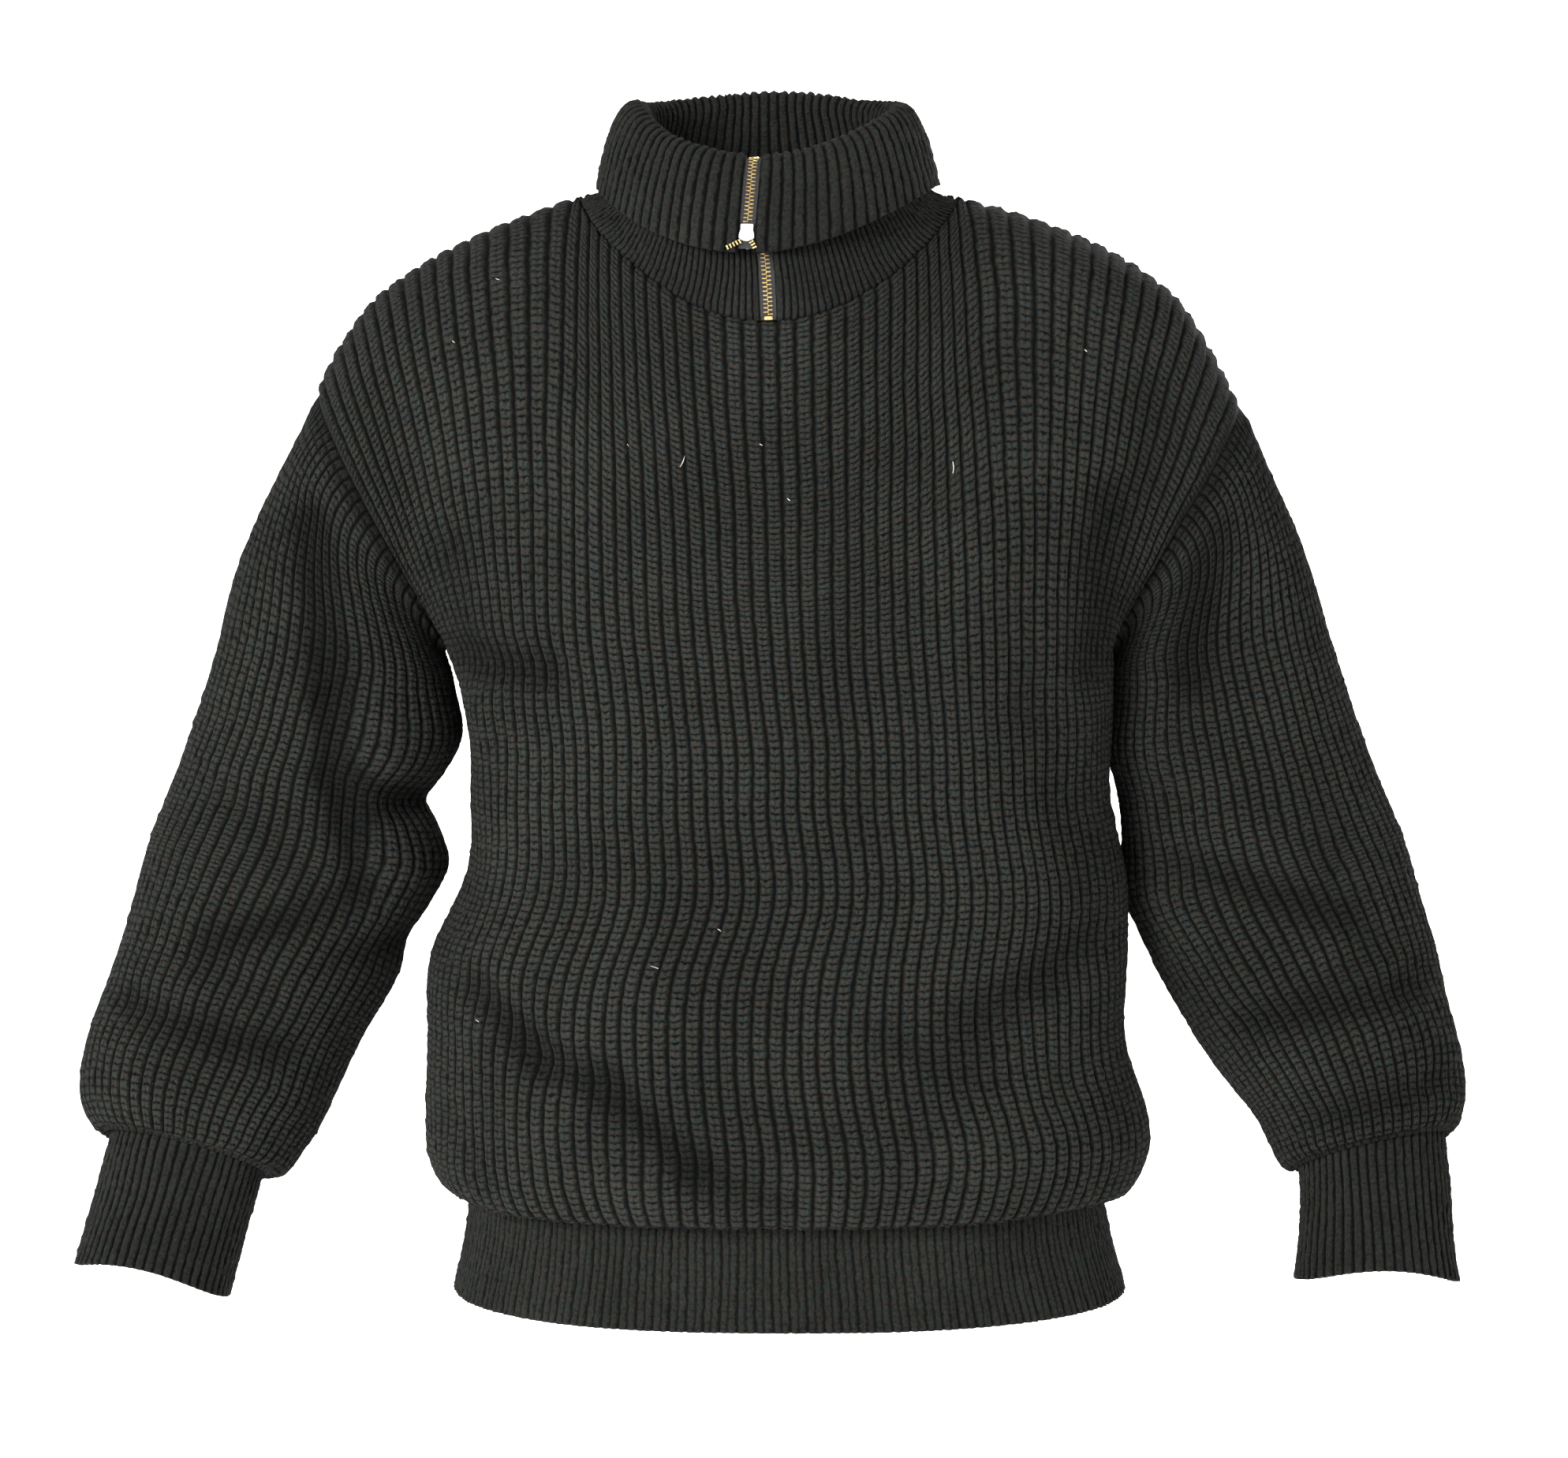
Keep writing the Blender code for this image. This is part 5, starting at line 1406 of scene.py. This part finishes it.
def make_open_teeth(side, route, finish):
    """One open end of the chain past the slider, on its stub of tape."""
    place = slider_place()
    turn = np.array(place.to_3x3())
    mesh = bmesh.new()
    route = np.array(route)
    steps = np.concatenate([[0.0], np.cumsum(np.linalg.norm(np.diff(route, axis=0), axis=1))])
    count = int(steps[-1] / (TOOTH_STEP * 0.8)) + 1
    for tooth in range(count):
        far = min(tooth * TOOTH_STEP * 0.8 + 0.0006, steps[-1])
        x, z = (np.interp(far, steps, route[:, column]) for column in (0, 1))
        nx, nz = (np.interp(min(far + 0.001, steps[-1] + 0.001), steps, route[:, column])
                  - np.interp(far - 0.001, steps, route[:, column]) for column in (0, 1))
        along = unit(np.array([nx, 0.0, nz]))
        out = -OPEN_TEETH_OUT if tooth else -SLIDER_THICKNESS / 2 - 0.0006
        centre = np.array(place @ Vector((x, out, z)))
        across = np.array([-along[2], 0.0, along[0]]) * side
        half = TOOTH_HALF_THICKNESS * 0.55
        outline = [(-0.0013, -0.0005), (0.0002, -0.0004), (0.0013, -0.0007), (0.0013, 0.0007),
                   (0.0002, 0.0004), (-0.0013, 0.0005)]
        local = Matrix((turn @ across, turn @ along, turn @ [0.0, 1.0, 0.0])).transposed().to_4x4()
        local.translation = Vector(centre)
        add_solid(mesh, outline, -half, half, local, half * 0.35)
    name = "open_teeth_left" if side > 0 else "open_teeth_right"
    made = solid_piece(name, mesh, finish, CLOTH_BODY)
    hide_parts("zip_open_left" if side > 0 else "zip_open_right")
    return made


def slider_outline(grow):
    """Narrow square top and a wide rounded foot."""
    half, top, wide = SLIDER_LENGTH / 2, SLIDER_TOP_WIDTH / 2, SLIDER_WIDTH / 2
    right = [(top * 0.86, half), (top, half * 0.90), (top, half * 0.30),
             (wide * 0.97, -half * 0.10)]
    for step in range(9):
        angle = math.radians(8 + step * 82 / 8)
        right.append((wide * math.cos(angle) ** 0.8, -half * 0.45 - half * 0.55 * math.sin(angle)))
    outline = right[:-1] + [(0.0, -half)] + [(-x, y) for x, y in reversed(right[:-1])]
    return [(x * grow, y * grow) for x, y in outline]


def make_slider(finish):
    """The slider seen from its plain back, with the bridge towards the stand."""
    upright = slider_place() @ Matrix.Rotation(math.radians(90), 4, "X")
    half = SLIDER_THICKNESS / 2
    plate = 0.0010
    mesh = bmesh.new()
    add_solid(mesh, slider_outline(1.0), half - plate, half, upright, 0.00035)
    add_solid(mesh, slider_outline(0.98), -half, -half + plate, upright, 0.00035)
    core = [(x * 0.42, y * 0.55 + SLIDER_LENGTH * 0.18) for x, y in slider_outline(1.0)]
    add_solid(mesh, core, -half + plate, half - plate, upright)
    for side in (-1, 1):
        rim = [(side * SLIDER_WIDTH * 0.40, -0.0036), (side * SLIDER_WIDTH * 0.48, -0.0030),
               (side * SLIDER_WIDTH * 0.47, -0.0010), (side * SLIDER_TOP_WIDTH * 0.49, 0.0012),
               (side * SLIDER_TOP_WIDTH * 0.49, 0.0040), (side * SLIDER_TOP_WIDTH * 0.41, 0.0040),
               (side * SLIDER_TOP_WIDTH * 0.41, 0.0008), (side * SLIDER_WIDTH * 0.40, -0.0012)]
        rim = rim if side > 0 else rim[::-1]
        add_solid(mesh, rim, half - plate - 0.0008, half - plate + 0.0001, upright)
        add_solid(mesh, rim, -half + plate - 0.0001, -half + plate + 0.0008, upright)
    sideways = slider_place() @ Matrix(((0, 0, 1, 0), (1, 0, 0, 0), (0, 1, 0, 0), (0, 0, 0, 1)))
    root, long, top, post = half - 0.0003, BRIDGE_HALF_LENGTH, half + BRIDGE_TOP, 0.0007
    arch = [(root, -long), (top - 0.0008, -long), (top - 0.0001, -long * 0.55),
            (top - 0.0001, long * 0.55), (top - 0.0008, long), (root, long), (root, long - post),
            (top - 0.0011, long - post), (top - 0.0007, long * 0.4), (top - 0.0007, -long * 0.4),
            (top - 0.0011, post - long), (root, post - long)]
    add_solid(mesh, arch, -BRIDGE_WIDTH / 2, BRIDGE_WIDTH / 2, sideways)
    made = solid_piece("slider", mesh, finish, CLOTH_BODY)
    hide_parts("zip_slider")
    return made


def make_pull(finish):
    """The flat tab that hangs from the bridge behind the flap's edge."""
    place = slider_place()
    hang = math.atan2(-place.col[1].z, place.col[2].z)
    pivot = Matrix.Translation((0.0, SLIDER_THICKNESS / 2 + PIVOT_HEIGHT, 0.0))
    hung = place @ pivot @ Matrix.Rotation(hang, 4, "X") @ Matrix.Rotation(math.radians(90), 4, "X")
    half, wide, eye, end = PULL_THICKNESS / 2, PULL_HALF_WIDTH, PULL_EYE_HALF_WIDTH, PULL_LENGTH
    mesh = bmesh.new()
    bar = [(-wide, -PULL_BAR), (wide, -PULL_BAR), (wide, PULL_BAR), (-wide, PULL_BAR)]
    add_solid(mesh, bar, -half, half, hung, 0.0001)
    for side in (-1, 1):
        limb = [(side * eye, -PULL_EYE_END - 0.0002), (side * wide, -PULL_EYE_END - 0.0002),
                (side * wide, PULL_BAR * 0.5), (side * eye, PULL_BAR * 0.5)]
        add_solid(mesh, limb if side > 0 else limb[::-1], -half, half, hung, 0.0001)
    foot = [(wide, -PULL_EYE_END), (-wide, -PULL_EYE_END), (-wide, -end + 0.0014)]
    for step in range(7):
        angle = math.radians(180 + step * 30)
        foot.append((wide * 0.94 * math.cos(angle), -end + 0.0014 + 0.0014 * math.sin(angle)))
    foot.append((wide, -end + 0.0014))
    add_solid(mesh, foot, -half, half, hung, 0.00018)
    made = solid_piece("pull_tab", mesh, finish, PULL_BODY)
    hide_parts("zip_pull")
    return made


def add_fibre(points, faces, route, radius):
    """A thin three-sided fibre along a route, tapered at both ends."""
    route = np.array(route, float)
    count = len(route)
    start = len(points)
    for place, centre in enumerate(route):
        along = unit(route[min(place + 1, count - 1)] - route[max(place - 1, 0)])
        side = unit(np.cross(along, [0.3, 0.2, 0.93]))
        other = np.cross(along, side)
        taper = radius * (0.45 + 0.55 * math.sin(math.pi * (place + 0.5) / count))
        for turn in range(3):
            angle = turn * 2 * math.pi / 3
            points.append(centre + taper * (side * math.cos(angle) + other * math.sin(angle)))
    for place in range(count - 1):
        for turn in range(3):
            after = (turn + 1) % 3
            low = start + 3 * place
            faces.append((low + turn, low + after, low + 3 + after, low + 3 + turn))
    faces.append((start + 2, start + 1, start))
    end = start + 3 * (count - 1)
    faces.append((end, end + 1, end + 2))


def camera_ray(across, down):
    """Where the camera stands, and its direction through a pixel of the photograph."""
    forward = (Vector(CAMERA_AIM) - Vector(CAMERA_AT)).normalized()
    right = forward.cross(Vector((0.0, 0.0, 1.0))).normalized()
    up = right.cross(forward)
    ray = (forward + right * (across - PHOTO_WIDTH / 2) / FOCAL_PIXELS
           - up * (down - PHOTO_HEIGHT / 2) / FOCAL_PIXELS)
    return Vector(CAMERA_AT), ray.normalized()


def wool_surface(names):
    """The knitted pieces as one tree that rays can meet."""
    points, faces = [], []
    for name in names:
        data = bpy.data.objects[name].data
        start = len(points)
        places = np.empty(3 * len(data.vertices), np.float32)
        data.vertices.foreach_get("co", places)
        points.extend(Vector(place) for place in places.reshape(-1, 3))
        faces.extend([start + corner for corner in face.vertices] for face in data.polygons)
    return BVHTree.FromPolygons(points, faces)


class SWEATER_OT_knit_body(bpy.types.Operator):
    """Knit the front and back of the body"""
    bl_idname = "sweater.knit_body"
    bl_label = "Front and Back"

    def execute(self, context):
        looks = context.scene.sweater_looks
        finish = wool_finish("full_rib_wool", looks, 1, 0.28, 0.6, 0.9, 0.72, 1.12)
        front = knit_panel("front_body", FRONT, looks, finish)
        back = knit_panel("back_body", BACK, looks, finish)
        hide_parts("front_panel")
        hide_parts("back_panel")
        return {"FINISHED"}


class SWEATER_OT_knit_sleeves(bpy.types.Operator):
    """Knit both full sleeves"""
    bl_idname = "sweater.knit_sleeves"
    bl_label = "Sleeves"

    def execute(self, context):
        looks = context.scene.sweater_looks
        finish = wool_finish("sleeve_rib_wool", looks, 1, 0.28, 0.6, 0.9, 0.72, 1.08)
        for name, side, rows in (("right_sleeve", -1, SLEEVE_RIGHT),
                                 ("left_sleeve", 1, SLEEVE_LEFT)):
            sleeve = knit_sleeve(name, side, rows, looks, finish)
            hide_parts("sleeve_right" if side < 0 else "sleeve_left")
        return {"FINISHED"}


class SWEATER_OT_knit_cuffs(bpy.types.Operator):
    """Knit the two ribbed cuffs"""
    bl_idname = "sweater.knit_cuffs"
    bl_label = "Cuffs"

    def execute(self, context):
        looks = context.scene.sweater_looks
        finish = wool_finish("cuff_ribbing", looks, 1, 0.5, 0.0, 0.92, 0.12, 0.88)
        for name, side, rows, above in (("right_cuff", -1, CUFF_RIGHT, SLEEVE_RIGHT),
                                        ("left_cuff", 1, CUFF_LEFT, SLEEVE_LEFT)):
            cuff = knit_cuff(name, side, rows, above, looks, finish)
            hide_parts("cuff_right" if side < 0 else "cuff_left")
        return {"FINISHED"}


class SWEATER_OT_knit_hem(bpy.types.Operator):
    """Knit the front and back of the deep hem band"""
    bl_idname = "sweater.knit_hem"
    bl_label = "Hem Band"

    def execute(self, context):
        looks = context.scene.sweater_looks
        finish = wool_finish("hem_ribbing", looks, 2, 0.5, 0.0, 0.72, 0.12, 0.92)
        for name, face, node in (("hem_front", FRONT, "hem_band_front"),
                                 ("hem_back", BACK, "hem_band_back")):
            band = knit_hem_band(name, face, looks, finish)
            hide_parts(node)
        return {"FINISHED"}


class SWEATER_OT_knit_collar(bpy.types.Operator):
    """Knit the folded roll collar"""
    bl_idname = "sweater.knit_collar"
    bl_label = "Roll Collar"

    def execute(self, context):
        looks = context.scene.sweater_looks
        finish = wool_finish("collar_ribbing", looks, 1, 0.5, 0.0, 0.92, 0.12, 0.88)
        collar = knit_collar(looks, finish)
        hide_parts("collar")
        return {"FINISHED"}


class SWEATER_OT_make_zip(bpy.types.Operator):
    """Make the zip's teeth, slider and pull, and weave its tapes"""
    bl_idname = "sweater.make_zip"
    bl_label = "Zip"

    def execute(self, context):
        looks = context.scene.sweater_looks
        brass = metal_finish("brass_teeth", looks.brass, 0.3, 0.55)
        nickel = metal_finish("nickel_slider", looks.nickel, 0.32, 0.7)
        tape = tape_finish("woven_tape", looks.tape)
        make_closed_teeth(brass)
        make_backing(tape)
        for side, route in OPEN_ROUTES.items():
            make_open_teeth(side, route, brass)
        make_slider(nickel)
        make_pull(nickel)
        for node in ("zip_tape_right", "zip_tape_left"):
            bpy.data.objects[node].material_slots[0].material = tape
        return {"FINISHED"}


class SWEATER_OT_add_lint(bpy.types.Operator):
    """Catch a few pale straws and specks in the wool"""
    bl_idname = "sweater.add_lint"
    bl_label = "Lint"

    def execute(self, context):
        looks = context.scene.sweater_looks
        surface = wool_surface(("front_body", "right_sleeve", "left_sleeve", "hem_front"))
        points, faces = [], []
        for place in range(len(LINT["across"])):
            route = []
            for part in np.linspace(0.0, 1.0, 6):
                bend = LINT["bend"][place] * math.sin(math.pi * part)
                across = LINT["across"][place] + LINT["run"][place] * part + bend
                down = LINT["down"][place] + LINT["drop"][place] * part + bend * 0.3
                start, ray = camera_ray(across, down)
                met = surface.ray_cast(start, ray)[0]
                if met is None:
                    raise RuntimeError("a piece of lint has no wool under it")
                route.append(met - ray * LINT["thick"][place] * 0.8)
            add_fibre(points, faces, route, LINT["thick"][place])
        quads = np.array([face for face in faces if len(face) == 4])
        ends = np.array([face for face in faces if len(face) == 3])
        data = mesh_from_arrays("lint", np.array(points), [quads, ends])
        add_piece("lint", data, lint_finish("pale_lint", looks.lint), CLOTH_BODY)
        return {"FINISHED"}


class SWEATER_OT_set_stage(bpy.types.Operator):
    """Set up the pale floor, the soft studio light and the camera"""
    bl_idname = "sweater.set_stage"
    bl_label = "Stage"

    def execute(self, context):
        studio = context.scene.studio_looks
        scene = context.scene
        profile = [(0.0, 0.0), (studio.radius * 0.5, 0.0), (studio.radius, 0.0)]
        for step in range(1, CURVE_STEPS + 1):
            angle = math.radians(step * 90 / CURVE_STEPS)
            profile.append((studio.radius + STAGE_CURVE * math.sin(angle),
                            STAGE_CURVE * (1 - math.cos(angle))))
        profile.append((studio.radius + STAGE_CURVE, STAGE_WALL))
        points = []
        for reach, height in profile:
            for step in range(STAGE_SIDES):
                angle = step * 2 * math.pi / STAGE_SIDES
                points.append((reach * math.cos(angle), reach * math.sin(angle),
                               studio.floor_height + height))
        quads, _ = grid_faces(len(profile), STAGE_SIDES, True, 0)
        data = mesh_from_arrays("stage", np.array(points), [quads])
        floor = bpy.data.objects.new("stage", data)
        data.materials.append(paper_finish("white_paper", studio.paper, studio.glow))
        scene.collection.objects.link(floor)
        scene.world = bpy.data.worlds.new("studio")
        scene.world.use_nodes = True
        background = scene.world.node_tree.nodes["Background"]
        background.inputs["Color"].default_value = (1.0, 1.0, 1.0, 1.0)
        background.inputs["Strength"].default_value = ROOM_LIGHT
        lights = (("main_light", studio.key_power, (-1.5, -2.35, 0.50), 1.0),
                  ("side_light", studio.fill_power, (2.2, -1.6, 0.2), 1.6),
                  ("back_light", studio.back_power, (1.4, 2.8, 1.0), 1.6))
        for name, power, place, size in lights:
            lamp = bpy.data.lights.new(name, "AREA")
            lamp.energy = power
            lamp.shape = "DISK"
            lamp.size = size
            holder = bpy.data.objects.new(name, lamp)
            holder.location = place
            aim = Vector((0.0, 0.0, -0.3)) - Vector(place)
            holder.rotation_euler = aim.to_track_quat("-Z", "Y").to_euler()
            scene.collection.objects.link(holder)
        scene.view_settings.view_transform = "Standard"
        lens = bpy.data.cameras.new("camera")
        lens.sensor_width = SENSOR_WIDTH
        lens.lens = FOCAL_PIXELS / PHOTO_WIDTH * SENSOR_WIDTH
        camera = bpy.data.objects.new("camera", lens)
        camera.location = CAMERA_AT
        aim = Vector(CAMERA_AIM) - Vector(CAMERA_AT)
        camera.rotation_euler = aim.to_track_quat("-Z", "Y").to_euler()
        scene.collection.objects.link(camera)
        scene.camera = camera
        return {"FINISHED"}


OPERATORS = (
    SWEATER_OT_knit_body,
    SWEATER_OT_knit_sleeves,
    SWEATER_OT_knit_cuffs,
    SWEATER_OT_knit_hem,
    SWEATER_OT_knit_collar,
    SWEATER_OT_make_zip,
    SWEATER_OT_add_lint,
    SWEATER_OT_set_stage,
)


class VIEW3D_PT_sweater(bpy.types.Panel):
    """Buttons for each group of pieces, with the sizes and colours they use"""
    bl_idname = "VIEW3D_PT_sweater"
    bl_label = "Sweater"
    bl_space_type = "VIEW_3D"
    bl_region_type = "UI"
    bl_category = "Sweater"

    def draw(self, context):
        layout = self.layout
        for looks, kind in ((context.scene.sweater_looks, SweaterLooks),
                            (context.scene.studio_looks, StudioLooks)):
            box = layout.box()
            for name in kind.__annotations__:
                box.prop(looks, name)
        for operator in OPERATORS:
            layout.operator(operator.bl_idname)


CLASSES = (SweaterLooks, StudioLooks, *OPERATORS, VIEW3D_PT_sweater)


def register():
    for kind in CLASSES:
        bpy.utils.register_class(kind)
    bpy.types.Scene.sweater_looks = bpy.props.PointerProperty(type=SweaterLooks)
    bpy.types.Scene.studio_looks = bpy.props.PointerProperty(type=StudioLooks)


def unregister():
    del bpy.types.Scene.studio_looks
    del bpy.types.Scene.sweater_looks
    for kind in reversed(CLASSES):
        bpy.utils.unregister_class(kind)


def main():
    register()
    bpy.ops.sweater.knit_body()
    bpy.ops.sweater.knit_sleeves()
    bpy.ops.sweater.knit_cuffs()
    bpy.ops.sweater.knit_hem()
    bpy.ops.sweater.knit_collar()
    bpy.ops.sweater.make_zip()
    bpy.ops.sweater.add_lint()
    bpy.ops.sweater.set_stage()
    bpy.context.view_layer.update()


if __name__ == "__main__":
    main()
